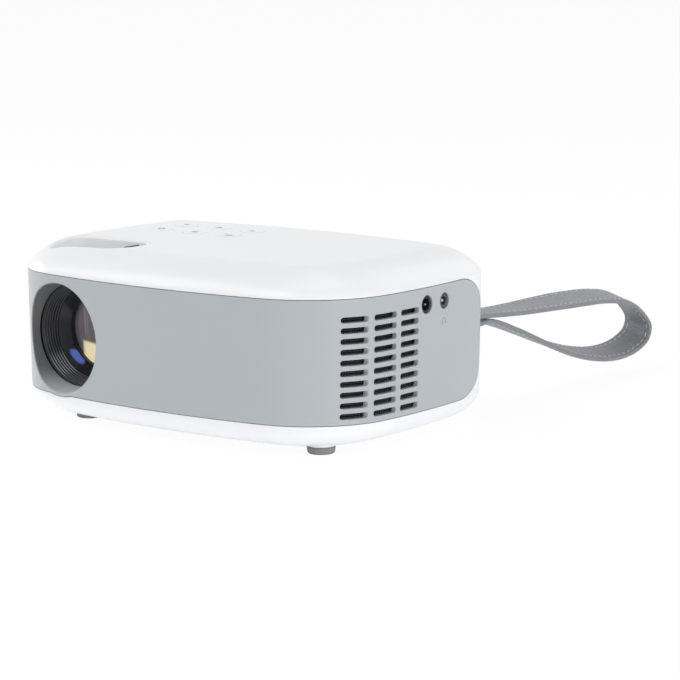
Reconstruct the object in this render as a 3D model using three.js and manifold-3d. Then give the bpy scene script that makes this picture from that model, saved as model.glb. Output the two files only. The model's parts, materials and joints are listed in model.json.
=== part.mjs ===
// Video projector: a compact panel projector in a rounded case with a wraparound band and a carry strap.
// Millimetres. +Z is up, the lens looks along -Y and +X is to the right of someone who faces the lens.
// The origin is the middle of the flat underside. The feet reach below it.

import * as THREE from 'three';
import { mergeVertices } from 'three/addons/utils/BufferGeometryUtils.js';
import Module from 'manifold-3d';

const wasm = await Module();
wasm.setup();

// Fits and cutting

const fitGap = 0.3;
const runningGap = 0.3;
const cutOverrun = 1;
const bodyReach = 160;
const weldTolerance = 0.0001;
const leastEdge = 0.03;

// Case outline seen from above: shallow front, side and rear arcs with round corners

const halfWidth = 100;
const halfDepth = 70.5;
const frontSagitta = 12.5;
const sideSagitta = 8;
const frontCornerRadius = 44.4;
const rearCornerRadius = 23.5;
const frontSteps = 3;
const frontCornerSteps = 6;
const sideSteps = 3;
const rearCornerSteps = 5;
const rearSteps = 3;

// Case heights, from the underside

const caseHeight = 78;
const topRollHeight = 12.3;
const upperSeamHeight = caseHeight - topRollHeight;
const lowerSeamHeight = 11.2;
const bandHeight = upperSeamHeight - lowerSeamHeight;
const topRollWidth = 20;
const bottomRollWidth = 14;
const bandTaper = 0.9;
const caseWall = 2.4;
const rollPower = 1.5;
const outerRollSteps = 4;
const innerRollSteps = 2;

// Wraparound band: its ends lie on the rear corners and have round corners seen from the side

const bandEndInset = 17.5;
const bandEndY = halfDepth - bandEndInset;
const bandEndStraight = 8.5;
const bandEndRadius = (bandHeight - bandEndStraight) / 2;
const bandEndSteps = 4;
const seamGap = 0.3;

// Tongues that hold the covers and the band in line

const tongueLength = 14;
const tongueThickness = 1.6;
const tongueDrop = 2.2;
const tongueRoot = 2;
const tongueRootSink = 0.6;

// Lens: axis place and the hood that the band carries

const lensSideInset = 44.5;
const lensX = lensSideInset - halfWidth;
const lensDrop = 1.45;
const lensZ = (lowerSeamHeight + upperSeamHeight) / 2 - lensDrop;
const hoodSeamMargin = 3.05;
const hoodThroatRadius = bandHeight / 2 - hoodSeamMargin;
const hoodFlare = 1;
const hoodMouthRadius = hoodThroatRadius + hoodFlare;
const hoodWall = 1.4;
const hoodRearY = -53;
const lensSides = 24;
const hoodSides = 28;

// Lens sleeve on the optics housing

const barrelHeadStep = 2.7;
const barrelRadius = hoodThroatRadius - barrelHeadStep;
const sleeveBore = barrelRadius + fitGap;
const sleeveWall = 2.2;
const sleeveRadius = sleeveBore + sleeveWall;
const sleeveFrontY = -39.4;
const flangeRim = 1;
const flangeHalf = sleeveRadius + flangeRim;
const flangeThickness = 3;
const guideSlotWidth = 2.4;

// Focus ring and lever

const ringWall = 2.7;
const ringRadius = sleeveRadius + runningGap + ringWall;
const ringWidth = 6;
const ringCentreY = -31.6;
const leverRestAngle = 20;
const leverSweep = 25;
const leverLength = 10.6;
const leverThickness = 2.4;
const leverTaper = 0.5;
const stemLength = 3.6;
const stemThickness = 3;
const slitLength = 4.8;
const slitSteps = 8;
const slitSpare = 4;

// Scoop in the top cover for the lever: its floor is concentric with the lens

const scoopRingGap = 4.9;
const scoopFloorRadius = ringRadius + scoopRingGap + caseWall;
const leverLift = 0.7;
const leverFootRadius = scoopFloorRadius + leverLift;
const leverHeight = 6.8;
const leverTipRadius = leverFootRadius + leverHeight;
const scoopHalfLength = 24.5;
const scoopRearY = -24.3;
const scoopFrontY = -51;
const scoopCornerRadius = 11;
const scoopDraft = 1;
const scoopFloorSides = 56;
const scoopCornerSteps = 4;

// Lens barrel with a stepped black mouth, moved along the axis by the focus ring

const barrelTravel = 1;
const barrelRearY = -9.5;
const barrelHeadRadius = hoodThroatRadius + hoodWall;
const barrelHeadRearY = -41;
const barrelMouthStep = 0.6;
const barrelMouthRadius = hoodThroatRadius - barrelMouthStep;
const barrelRibCount = 6;
const barrelRibStep = 0.72;
const barrelRibPitch = 1.75;
const barrelWall = 2.5;
const barrelBore = barrelRadius - barrelWall;
const guidePinRadius = 0.9;
const guidePinLength = 1.6;
const guidePinSides = 8;

// Lens elements

const frontGlassGap = 0.6;
const frontGlassRadius = barrelBore - frontGlassGap;
const frontGlassY = -36.5;
const frontGlassEdge = 3.4;
const frontGlassBulge = 2.4;
const middleGlassStep = 4.5;
const middleGlassRadius = barrelBore - middleGlassStep;
const middleGlassY = -26;
const middleGlassEdge = 2;
const middleGlassDish = 1.6;
const rearGlassStep = 3;
const rearGlassRadius = barrelBore - rearGlassStep;
const rearGlassY = -15.5;
const rearGlassEdge = 3;
const rearGlassBulge = 2.4;
const lensFaceSteps = 2;
const lensBoreShoulder = 1.6;
const retainerWidth = 1.6;
const retainerThickness = 1.6;

// Exhaust vents in the right wall

const slotPitch = 4.63;
const slotHeight = 2.5;
const slotSeamMargin = 4.9;
const slotRows = 1 + Math.floor((bandHeight - 2 * slotSeamMargin - slotHeight) / slotPitch);
const slotCornerRadius = 0.9;
const ventDrop = 1.2;
const ventCentreZ = lensZ - ventDrop;
const ventFrontY = -47.6;
const ventColumnLengths = [11.8, 13.7, 12.4];
const ventColumnGap = 2.9;
const meshThickness = 0.6;
const meshMargin = 1.2;

// Intake slots in the underside, with a mesh over them inside

const intakePitch = 4.6;
const intakeWidth = 2.4;
const intakeLength = 30;
const intakeY = -16;
const intakeSideGap = 10;
const intakeMeshLift = 0.3;
const intakeMeshMargin = 1.4;

// Sockets on the right wall

const powerJackY = 2.1;
const soundJackY = 15.7;
const jackDrop = 7.6;
const jackZ = upperSeamHeight - jackDrop;
const powerJackRadius = 3.75;
const powerJackBore = 2.8;
const powerPinRadius = 1;
const soundJackRadius = 3.3;
const soundJackBore = 1.8;
const jackBoreDepth = 9;
const jackBodyLength = 12;
const jackBodyWidth = 9.4;
const jackBodyDrop = 3.4;
const jackBodyRise = 4.2;
const jackLip = 0.4;
const jackSides = 16;

// Main board and what stands on it at the rear wall

const boardThickness = 1.6;
const boardJackDrop = 5.3;
const boardBottomZ = jackZ - boardJackDrop;
const boardSideGap = 12;
const boardRightX = halfWidth - boardSideGap;
const boardRearGap = 14.5;
const boardRearY = halfDepth - boardRearGap;
const boardCornerCut = 9;
const boardPostRadius = 2.6;
const boardPinRadius = 1.2;
const boardPinSpare = 1.2;
const boardPostInset = 5;
const strapSideInset = 25;
const strapX = halfWidth - strapSideInset;
const usbStrapGap = 35;
const usbX = strapX - usbStrapGap;
const socketPitch = 26;
const hdmiX = usbX - socketPitch;
const sensorPitch = 28;
const sensorX = hdmiX - sensorPitch;
const boardEdgeMargin = 11;
const boardLeftX = hdmiX - boardEdgeMargin;
const hdmiWidth = 15;
const hdmiHeight = 6;
const usbWidth = 14.4;
const usbHeight = 7;
const socketShell = 0.7;
const socketDepth = 12;
const socketTongue = 1.6;
const sensorWidth = 9;
const sensorHeight = 6;
const sensorThickness = 2;
const sensorFlange = 1.2;
const chipSize = 16;
const chipHeight = 2.4;

// Speaker and its grille

const speakerShift = 20;
const speakerX = usbX - speakerShift;
const speakerZ = 23;
const speakerRadius = 15;
const speakerDepth = 9;
const speakerMagnetRadius = 9;
const speakerMagnetDepth = 4;
const speakerConeRadius = 12.4;
const speakerConeDepth = 3;
const speakerFlange = 1.6;
const speakerRingWall = 2;
const speakerRingDepth = 3;
const grilleSlotCount = 5;
const grilleSlotPitch = 4.2;
const grilleSlotWidth = 1.8;

// Keys on the top

const keyColumns = 3;
const keyRows = 2;
const keyLensShift = 6;
const keyFirstX = lensX - keyLensShift;
const keyPitchX = 20.4;
const keyFirstY = 12;
const keyPitchY = 18;
const keyRadius = 5.8;
const keyProud = 0.3;
const keyFlange = 1.2;
const keyFlangeHeight = 1;
const keyStemRadius = 1.8;
const keyTravel = 0.8;
const keySides = 14;
const keyCrown = 0.5;
const keyBoardDrop = 10.4;
const keyBoardBottomZ = caseHeight - keyBoardDrop;
const keyBoardThickness = 1.6;
const keyBoardMargin = 7;
const switchSize = 5;
const switchHeight = 1.6;
const keyPostRadius = 2.6;

// Optics housing, an open tray with grooves for the flat optics, and its lid

const housingHalfWidth = 23.5;
const housingLeftX = lensX - housingHalfWidth;
const housingRightX = lensX + housingHalfWidth;
const housingFrontY = -6;
const housingRearY = 55;
const housingBottomZ = 10;
const housingTopGap = 3.2;
const housingTopZ = upperSeamHeight - housingTopGap;
const housingWall = 2;
const lidThickness = 2;
const lampY = 33;
const plateFirstY = -0.6;
const platePitch = 4.3;
const fresnelThickness = 1.6;
const panelThickness = 2.2;
const ribDepth = 1.6;
const plateHeadroom = 2;
const mirrorThickness = 1.8;
const mirrorHeadroom = 10.5;
const mirrorHeight = housingTopZ - housingBottomZ - mirrorHeadroom;
const housingPostRadius = 4;
const housingPostInset = 8;

// Lamp: condenser, holder, lamp board and heat sink

const holderHalf = boardBottomZ - lensZ - fitGap;
const holderLength = 16;
const holderRim = 2.5;
const condenserRadius = holderHalf - holderRim;
const condenserEdge = 2.4;
const condenserBulge = 5;
const condenserShoulder = 1.5;
const lampWindow = 2 * condenserRadius;
const lampBoardInset = 1.5;
const lampBoardHalf = holderHalf - lampBoardInset;
const lampBoardThickness = 1.6;
const lampDieHalf = 3.5;
const lampDieHeight = 1.2;
const sinkBase = 4;
const sinkLength = 48;
const sinkFrontReach = 20;
const sinkRearReach = 14.3;
const sinkFrontY = lampY - sinkFrontReach;
const sinkRearY = lampY + sinkRearReach;
const sinkBottomZ = 14;
const sinkBoardGap = 2.8;
const sinkTopZ = boardBottomZ - sinkBoardGap;
const finCount = 9;
const finThickness = 1.3;
const sinkRibWidth = 4;

// Exhaust fan behind the right vents

const fanDepth = 15;
const fanWallGap = 19;
const fanX = halfWidth - fanWallGap - fanDepth;
const fanHalf = 25;
const fanY = -28;
const boardFrontY = fanY + fanHalf + fitGap;
const fanBore = 23.6;
const fanHubRadius = 11;
const fanRotorLength = 11;
const fanBladeCount = 7;
const fanBladeRadius = 23;
const fanBladeTwist = 38;
const fanBladeThickness = 1.3;
const fanBladeSteps = 4;
const fanShaftRadius = 1.2;
const fanPlate = 2;
const fanStrutWidth = 2.4;
const fanStrutCount = 4;
const fanRibWidth = 5;

// Feet and their bosses

const footInset = { left: 37, right: 27.5, front: 32.2, rear: 29.5 };
const footX = {
  left: footInset.left - halfWidth,
  right: halfWidth - footInset.right,
  rearRight: halfWidth - footInset.left,
};
const footY = { front: footInset.front - halfDepth, rear: halfDepth - footInset.rear };
const footRadius = 6.4;
const footTaper = 0.5;
const footHeight = 4.2;
const footBossRise = 0.7;
const footBossFlare = 1.2;
const footPlugRadius = 2.4;
const footPlugLength = 3;
const footSides = 14;

// Case screws and their posts

const screwLeftInset = 14.5;
const screwLeftY = 28;
const screwLensGap = 47.5;
const screwMiddleInset = 17.5;
const screwFrontInset = { x: 48, y: 19.5 };
const screwRearInset = { x: 45, y: 17 };
const screwPlaces = [
  { name: 'rear_left', x: screwLeftInset - halfWidth, y: screwLeftY },
  { name: 'front_middle', x: lensX + screwLensGap, y: screwMiddleInset - halfDepth },
  { name: 'front_right', x: halfWidth - screwFrontInset.x, y: screwFrontInset.y - halfDepth },
  { name: 'rear_right', x: halfWidth - screwRearInset.x, y: halfDepth - screwRearInset.y },
];
const postRadius = 4.6;
const postSplitRise = 3;
const postSplitZ = lensZ + postSplitRise;
const counterboreRadius = 3.2;
const counterboreDrop = 10;
const counterboreTopZ = postSplitZ - counterboreDrop;
const shankHoleRadius = 1.5;
const screwHeadRadius = 2.8;
const screwHeadHeight = 2;
const screwShankRadius = 1.2;
const screwEngagement = 7;
const recessRadius = 1.2;
const recessDepth = 1.1;
const recessWidthShare = 1 / 3;
const postSides = 8;

// Tripod nut in the underside

const nutX = 0;
const nutY = -14;
const nutRadius = 5.4;
const nutHeight = 9;
const nutBore = 3.2;
const nutBossWall = 2;
const nutSides = 6;

// Carry strap, its pin and the pocket that the pin crosses

const strapWidth = 16;
const strapThickness = 2.2;
const strapPinRise = 3.4;
const strapPinZ = lensZ + strapPinRise;
const strapPinInset = 16;
const strapPinY = halfDepth - strapPinInset;
const strapPinRadius = 1.6;
const strapPinSeat = 1.6;
const pocketHalfWidth = 9.6;
const pocketFrontGap = 6;
const pocketFrontY = strapPinY - pocketFrontGap;
const pocketDrop = 10;
const pocketRise = 10;
const pocketWall = 1.8;
const strapTwist = 16;
const strapTwistLength = 70;
const strapPlyGap = 0.5;
const strapJoinReach = 22.5;
const strapJoinY = strapPinY + strapJoinReach;
const strapReach = 164.8;
const strapDrop = 32.4;
const strapUpperShares = [
  { out: 0.308, down: 0.004 },
  { out: 0.477, down: 0.025 },
  { out: 0.634, down: 0.051 },
  { out: 0.773, down: 0.1 },
  { out: 0.888, down: 0.216 },
  { out: 0.965, down: 0.445 },
];
const strapEndShares = [
  { out: 1, down: 0.646 },
  { out: 0.988, down: 0.817 },
];
const strapLowerShares = [
  { out: 0.944, down: 0.93 },
  { out: 0.871, down: 1 },
  { out: 0.773, down: 0.993 },
  { out: 0.653, down: 0.891 },
  { out: 0.516, down: 0.693 },
  { out: 0.374, down: 0.427 },
  { out: 0.268, down: 0.231 },
];
const strapLoopSteps = 8;
const strapStepsPerPoint = 2;

// Finishes: colour, roughness and metalness

const finishes = {
  whiteShell: [0xf3f4f6, 0.35, 0],
  greyBand: [0xb0b5b9, 0.4, 0],
  blackPlastic: [0x1b1c1f, 0.5, 0],
  darkGrey: [0x55585c, 0.45, 0],
  meshGrey: [0x2a2c2e, 0.6, 0.3],
  glass: [0x8a8796, 0.05, 0],
  clear: [0xdfe6ea, 0.1, 0],
  boardGreen: [0x1f5a3c, 0.5, 0],
  steel: [0xb9bcc0, 0.3, 1],
  aluminium: [0xc8cacd, 0.4, 1],
  brass: [0xc2a15a, 0.35, 1],
  mirror: [0xe8eef2, 0.02, 1],
  rubberGrey: [0x8b8682, 0.8, 0],
  strapGrey: [0x9a9c9f, 0.7, 0],
};

// Solids from geometry

function signedVolume(geometry) {
  const position = geometry.attributes.position;
  const index = geometry.index;
  const a = new THREE.Vector3();
  const b = new THREE.Vector3();
  const c = new THREE.Vector3();
  let volume = 0;
  for (let i = 0; i < index.count; i += 3) {
    a.fromBufferAttribute(position, index.getX(i));
    b.fromBufferAttribute(position, index.getX(i + 1));
    c.fromBufferAttribute(position, index.getX(i + 2));
    volume += a.dot(b.cross(c));
  }
  return volume;
}

function toSolid(geometry) {
  const bare = geometry.clone();
  bare.deleteAttribute('normal');
  bare.deleteAttribute('uv');
  const merged = mergeVertices(bare, weldTolerance);
  const triangles = Uint32Array.from(merged.index.array);
  if (signedVolume(merged) < 0) {
    for (let i = 0; i < triangles.length; i += 3) {
      [triangles[i + 1], triangles[i + 2]] = [triangles[i + 2], triangles[i + 1]];
    }
  }
  const kept = [];
  for (let i = 0; i < triangles.length; i += 3) {
    const [a, b, c] = triangles.subarray(i, i + 3);
    if (a !== b && b !== c && a !== c) {
      kept.push(a, b, c);
    }
  }
  return new wasm.Manifold(
    new wasm.Mesh({
      numProp: 3,
      vertProperties: Float32Array.from(merged.attributes.position.array),
      triVerts: Uint32Array.from(kept),
    }),
  );
}

function toGeometry(solid) {
  const mesh = solid.getMesh();
  const geometry = new THREE.BufferGeometry();
  const positions = Float32Array.from(mesh.vertProperties);
  geometry.setAttribute('position', new THREE.BufferAttribute(positions, mesh.numProp));
  geometry.setIndex(new THREE.BufferAttribute(Uint32Array.from(mesh.triVerts), 1));
  geometry.computeVertexNormals();
  return geometry;
}

function join(solids) {
  return solids.reduce((whole, solid) => whole.add(solid));
}

function cut(solid, tools) {
  return tools.reduce((rest, tool) => rest.subtract(tool), solid);
}

function block(x, y, z) {
  const size = [x[1] - x[0], y[1] - y[0], z[1] - z[0]];
  const geometry = new THREE.BoxGeometry(...size);
  geometry.translate((x[0] + x[1]) / 2, (y[0] + y[1]) / 2, (z[0] + z[1]) / 2);
  return toSolid(geometry);
}

// A closed profile of [radius, place along the axis] turned about an axis parallel to X, Y or Z
function turned(axis, profile, centre, sides) {
  const points = profile.map(([radius, along]) => new THREE.Vector2(radius, along));
  const last = points[points.length - 1];
  if (points[0].x > 0 || last.x > 0) {
    points.push(points[0].clone());
  }
  const geometry = new THREE.LatheGeometry(points, sides);
  if (axis === 'x') {
    geometry.rotateZ(-Math.PI / 2);
  }
  if (axis === 'z') {
    geometry.rotateX(Math.PI / 2);
  }
  geometry.translate(centre.x ?? 0, centre.y ?? 0, centre.z ?? 0);
  return toSolid(geometry);
}

function rod(axis, radius, from, to, centre, sides) {
  return turned(axis, [[0, from], [radius, from], [radius, to], [0, to]], centre, sides);
}

function tube(axis, bore, radius, from, to, centre, sides) {
  return turned(axis, [[bore, from], [radius, from], [radius, to], [bore, to]], centre, sides);
}

// A flat outline in the YZ plane drawn out along X
function prismAlongX(shape, from, to) {
  const geometry = new THREE.ExtrudeGeometry(shape, { depth: to - from, bevelEnabled: false });
  geometry.rotateY(Math.PI / 2);
  geometry.rotateX(Math.PI / 2);
  geometry.translate(from, 0, 0);
  return toSolid(geometry);
}

// Plan outline of the case

function arcRadius(halfSpan, sagitta) {
  return (halfSpan * halfSpan + sagitta * sagitta) / (2 * sagitta);
}

const frontArcRadius = arcRadius(halfWidth, frontSagitta);
const sideArcRadius = arcRadius(halfDepth, sideSagitta);

// Centre of a corner arc that touches the front or rear arc and the side arc from inside
function cornerCentre(cornerRadius) {
  const across = { x: 0, y: frontArcRadius - halfDepth };
  const along = { x: halfWidth - sideArcRadius, y: 0 };
  const reachAcross = frontArcRadius - cornerRadius;
  const reachAlong = sideArcRadius - cornerRadius;
  const dx = along.x - across.x;
  const dy = along.y - across.y;
  const apart = Math.hypot(dx, dy);
  const share = (reachAcross * reachAcross - reachAlong * reachAlong + apart * apart) / (2 * apart);
  const rise = Math.sqrt(reachAcross * reachAcross - share * share);
  return {
    x: across.x + (share * dx - rise * dy) / apart,
    y: across.y + (share * dy + rise * dx) / apart,
  };
}

function halfOutlineArcs() {
  const front = cornerCentre(frontCornerRadius);
  const rearMirrored = cornerCentre(rearCornerRadius);
  const rear = { x: rearMirrored.x, y: -rearMirrored.y };
  const frontCentreY = frontArcRadius - halfDepth;
  const sideCentreX = halfWidth - sideArcRadius;
  const frontTurn = Math.atan2(front.y - frontCentreY, front.x);
  const frontSide = Math.atan2(front.y, front.x - sideCentreX);
  const rearSide = Math.atan2(rear.y, rear.x - sideCentreX);
  const rearTurn = Math.atan2(rear.y + frontCentreY, rear.x);
  return [
    { x: 0, y: frontCentreY, radius: frontArcRadius, from: -Math.PI / 2, to: frontTurn, steps: frontSteps },
    { ...front, radius: frontCornerRadius, from: frontTurn, to: frontSide, steps: frontCornerSteps },
    { x: sideCentreX, y: 0, radius: sideArcRadius, from: frontSide, to: rearSide, steps: sideSteps },
    { ...rear, radius: rearCornerRadius, from: rearSide, to: rearTurn, steps: rearCornerSteps },
    { x: 0, y: -frontCentreY, radius: frontArcRadius, from: rearTurn, to: Math.PI / 2, steps: rearSteps },
  ];
}

// Counterclockwise outline, moved inward by an inset measured square to the wall
function planOutline(inset) {
  const half = [];
  for (const arc of halfOutlineArcs()) {
    for (let i = 0; i < arc.steps; i += 1) {
      const angle = arc.from + ((arc.to - arc.from) * i) / arc.steps;
      const radius = arc.radius - inset;
      half.push([arc.x + radius * Math.cos(angle), arc.y + radius * Math.sin(angle)]);
    }
  }
  const rearMiddle = [0, halfDepth - inset];
  const mirrored = half.slice(1).reverse();
  return [...half, rearMiddle, ...mirrored.map(([x, y]) => [-x, y])];
}

// Outer wall of the case at a place along Y, on the right side
function wallX(y, inset) {
  const outline = planOutline(inset);
  for (let i = 0; i < outline.length - 1; i += 1) {
    const [x0, y0] = outline[i];
    const [x1, y1] = outline[i + 1];
    if (x0 > 0 && x1 > 0 && y0 <= y && y <= y1 && y1 > y0) {
      return x0 + ((x1 - x0) * (y - y0)) / (y1 - y0);
    }
  }
  return halfWidth - inset;
}

// Wall of the case at the rear, at a place along X
function rearWallY(x, inset) {
  const outline = planOutline(inset);
  const middle = (outline.length / 2) | 0;
  const reach = Math.abs(x);
  for (let i = middle - rearSteps - rearCornerSteps; i < middle; i += 1) {
    const [x0, y0] = outline[i];
    const [x1, y1] = outline[i + 1];
    if (x1 <= reach && reach <= x0 && x0 > x1) {
      return y0 + ((y1 - y0) * (x0 - reach)) / (x0 - x1);
    }
  }
  return halfDepth - inset;
}

// A body drawn round the case outline from a profile of [inset, height] points.
// An open profile is capped flat at both ends, a closed one makes a ring.
function sweptRoundCase(profile, closed) {
  const rings = profile.map(([inset, height]) => planOutline(inset).map(([x, y]) => [x, y, height]));
  const count = rings[0].length;
  const positions = rings.flat(2);
  const triangles = [];
  const spans = closed ? rings.length : rings.length - 1;
  for (let r = 0; r < spans; r += 1) {
    const next = (r + 1) % rings.length;
    for (let i = 0; i < count; i += 1) {
      const j = (i + 1) % count;
      triangles.push(r * count + i, r * count + j, next * count + j);
      triangles.push(r * count + i, next * count + j, next * count + i);
    }
  }
  if (!closed) {
    for (const ring of [0, rings.length - 1]) {
      const middle = positions.length / 3;
      positions.push(0, 0, profile[ring][1]);
      for (let i = 0; i < count; i += 1) {
        const j = (i + 1) % count;
        const edge = ring === 0 ? [j, i] : [i, j];
        triangles.push(middle, ring * count + edge[0], ring * count + edge[1]);
      }
    }
  }
  const geometry = new THREE.BufferGeometry();
  geometry.setAttribute('position', new THREE.Float32BufferAttribute(positions, 3));
  geometry.setIndex(triangles);
  return toSolid(geometry);
}

function rollPoints(steps, place) {
  const points = [];
  for (let i = 0; i <= steps; i += 1) {
    const angle = (i / steps) * (Math.PI / 2);
    const across = Math.max(Math.cos(angle), 0) ** (2 / rollPower);
    const up = Math.sin(angle) ** (2 / rollPower);
    points.push(place(across, up));
  }
  return points;
}

// Profile of the case wall, moved inward by a wall thickness
function caseProfile(wall, steps) {
  const lowerRise = lowerSeamHeight - wall;
  const upperRise = caseHeight - upperSeamHeight - wall;
  const lower = rollPoints(steps, (across, up) => [
    bandTaper + wall + bottomRollWidth * (1 - across),
    lowerSeamHeight - lowerRise * up,
  ]);
  const upper = rollPoints(steps, (across, up) => [
    wall + topRollWidth * (1 - across),
    upperSeamHeight + upperRise * up,
  ]);
  return [...lower.reverse(), ...upper];
}

const caseOuter = sweptRoundCase(caseProfile(0, outerRollSteps), false);
const caseInner = sweptRoundCase(caseProfile(caseWall, innerRollSteps), false);
const caseShell = caseOuter.subtract(caseInner);

// Inner ribs, posts and pockets run into the middle of the wall
const caseMiddle = sweptRoundCase(caseProfile(caseWall / 2, innerRollSteps), false);

const lensCentre = { x: lensX, z: lensZ };
const everyX = [-bodyReach, bodyReach];
const everyY = [-bodyReach, bodyReach];

// Side view of the band: straight edges along the seams and round rear corners
function bandEnvelope(grow) {
  const low = lowerSeamHeight - grow;
  const high = upperSeamHeight + grow;
  const end = bandEndY + grow;
  const radius = bandEndRadius + grow;
  const shape = new THREE.Shape();
  shape.moveTo(-bodyReach, low);
  for (let i = 0; i <= bandEndSteps; i += 1) {
    const angle = -Math.PI / 2 + ((Math.PI / 2) * i) / bandEndSteps;
    shape.lineTo(end - radius + radius * Math.cos(angle), low + radius + radius * Math.sin(angle));
  }
  for (let i = 0; i <= bandEndSteps; i += 1) {
    const angle = ((Math.PI / 2) * i) / bandEndSteps;
    shape.lineTo(end - radius + radius * Math.cos(angle), high - radius + radius * Math.sin(angle));
  }
  shape.lineTo(-bodyReach, high);
  shape.closePath();
  return prismAlongX(shape, ...everyX);
}

// Space that the band and its seams take out of the covers
const insideBand = sweptRoundCase(caseProfile(caseWall + bandTaper + fitGap, innerRollSteps), false);
const bandZone = bandEnvelope(seamGap / 2).subtract(insideBand);

// Vents

function slotShape(startY, length, centreZ) {
  const r = slotCornerRadius;
  const low = centreZ - slotHeight / 2;
  const high = centreZ + slotHeight / 2;
  const end = startY + length;
  const shape = new THREE.Shape();
  shape.moveTo(startY + r, low);
  shape.lineTo(end - r, low);
  shape.lineTo(end, low + r);
  shape.lineTo(end, high - r);
  shape.lineTo(end - r, high);
  shape.lineTo(startY + r, high);
  shape.lineTo(startY, high - r);
  shape.lineTo(startY, low + r);
  shape.closePath();
  return shape;
}

function ventColumns() {
  let start = ventFrontY;
  return ventColumnLengths.map((length) => {
    const column = { start, length };
    start += length + ventColumnGap;
    return column;
  });
}

const ventRearY = ventColumns().at(-1).start + ventColumnLengths.at(-1);
const ventFieldHeight = (slotRows - 1) * slotPitch + slotHeight;

function ventCutters() {
  const cutters = [];
  for (const { start, length } of ventColumns()) {
    for (let row = 0; row < slotRows; row += 1) {
      const z = ventCentreZ + (row - (slotRows - 1) / 2) * slotPitch;
      cutters.push(prismAlongX(slotShape(start, length, z), 0, bodyReach));
    }
  }
  return cutters;
}

function makeVentMesh() {
  const outer = caseWall + bandTaper + fitGap;
  const low = ventCentreZ - ventFieldHeight / 2 - meshMargin;
  const high = ventCentreZ + ventFieldHeight / 2 + meshMargin;
  const ring = sweptRoundCase(
    [[outer, low], [outer + meshThickness, low], [outer + meshThickness, high], [outer, high]],
    true,
  );
  const y = [ventFrontY - meshMargin, ventRearY + meshMargin];
  return ring.intersect(block([0, bodyReach], y, [low - cutOverrun, high + cutOverrun]));
}

// The slots fill the room between the tripod nut and the fan
const intakeLeft = nutX + nutRadius + nutBossWall + intakeSideGap;
const intakeRight = fanX - intakeSideGap;
const intakeCount = 1 + Math.floor((intakeRight - intakeLeft - intakeWidth) / intakePitch);
const intakeX = (intakeLeft + intakeRight) / 2;

function intakeSlots() {
  const slots = [];
  for (let i = 0; i < intakeCount; i += 1) {
    const x = intakeX + (i - (intakeCount - 1) / 2) * intakePitch;
    slots.push(
      block(
        [x - intakeWidth / 2, x + intakeWidth / 2],
        [intakeY - intakeLength / 2, intakeY + intakeLength / 2],
        [-cutOverrun, caseWall + cutOverrun],
      ),
    );
  }
  return slots;
}

function makeIntakeMesh() {
  const halfX = (intakePitch * (intakeCount - 1) + intakeWidth) / 2 + intakeMeshMargin;
  const halfY = intakeLength / 2 + intakeMeshMargin;
  const low = caseWall + intakeMeshLift;
  return block(
    [intakeX - halfX, intakeX + halfX],
    [intakeY - halfY, intakeY + halfY],
    [low, low + meshThickness],
  );
}

// Tongues: short pieces of a ring behind the seams

function tonguePlaces() {
  const half = tongueLength / 2;
  return [
    block([-half, half], [-bodyReach, 0], [-bodyReach, bodyReach]),
    block([halfWidth / 2, halfWidth / 2 + tongueLength], [-bodyReach, 0], [-bodyReach, bodyReach]),
    block(everyX, [soundJackY + half, soundJackY + half + tongueLength], [-bodyReach, bodyReach]),
  ];
}

function makeTongues(seamHeight, wallInset, direction) {
  const rootFar = seamHeight + direction * (seamGap / 2 + tongueRoot);
  const rootNear = seamHeight + direction * (seamGap / 2 + tongueRootSink);
  const tip = seamHeight - direction * tongueDrop;
  const back = wallInset + fitGap + tongueThickness;
  const ring = sweptRoundCase(
    [
      [wallInset - tongueRootSink, rootNear],
      [wallInset - tongueRootSink, rootFar],
      [back, rootFar],
      [back, tip],
      [wallInset + fitGap, tip],
      [wallInset + fitGap, rootNear],
    ],
    true,
  );
  return join(tonguePlaces().map((place) => ring.intersect(place)));
}

// Scoop round the focus lever

function scoopOutline(grow) {
  const shape = new THREE.Shape();
  const left = lensX - scoopHalfLength - grow;
  const right = lensX + scoopHalfLength + grow;
  const front = scoopFrontY - grow;
  const rear = scoopRearY + grow;
  const r = scoopCornerRadius + grow;
  shape.moveTo(left + r, front);
  shape.lineTo(right - r, front);
  shape.absarc(right - r, front + r, r, -Math.PI / 2, 0);
  shape.lineTo(right, rear - r);
  shape.absarc(right - r, rear - r, r, 0, Math.PI / 2);
  shape.lineTo(left + r, rear);
  shape.absarc(left + r, rear - r, r, Math.PI / 2, Math.PI);
  shape.lineTo(left, front + r);
  shape.absarc(left + r, front + r, r, Math.PI, Math.PI * 1.5);
  return shape.getPoints(scoopCornerSteps);
}

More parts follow.
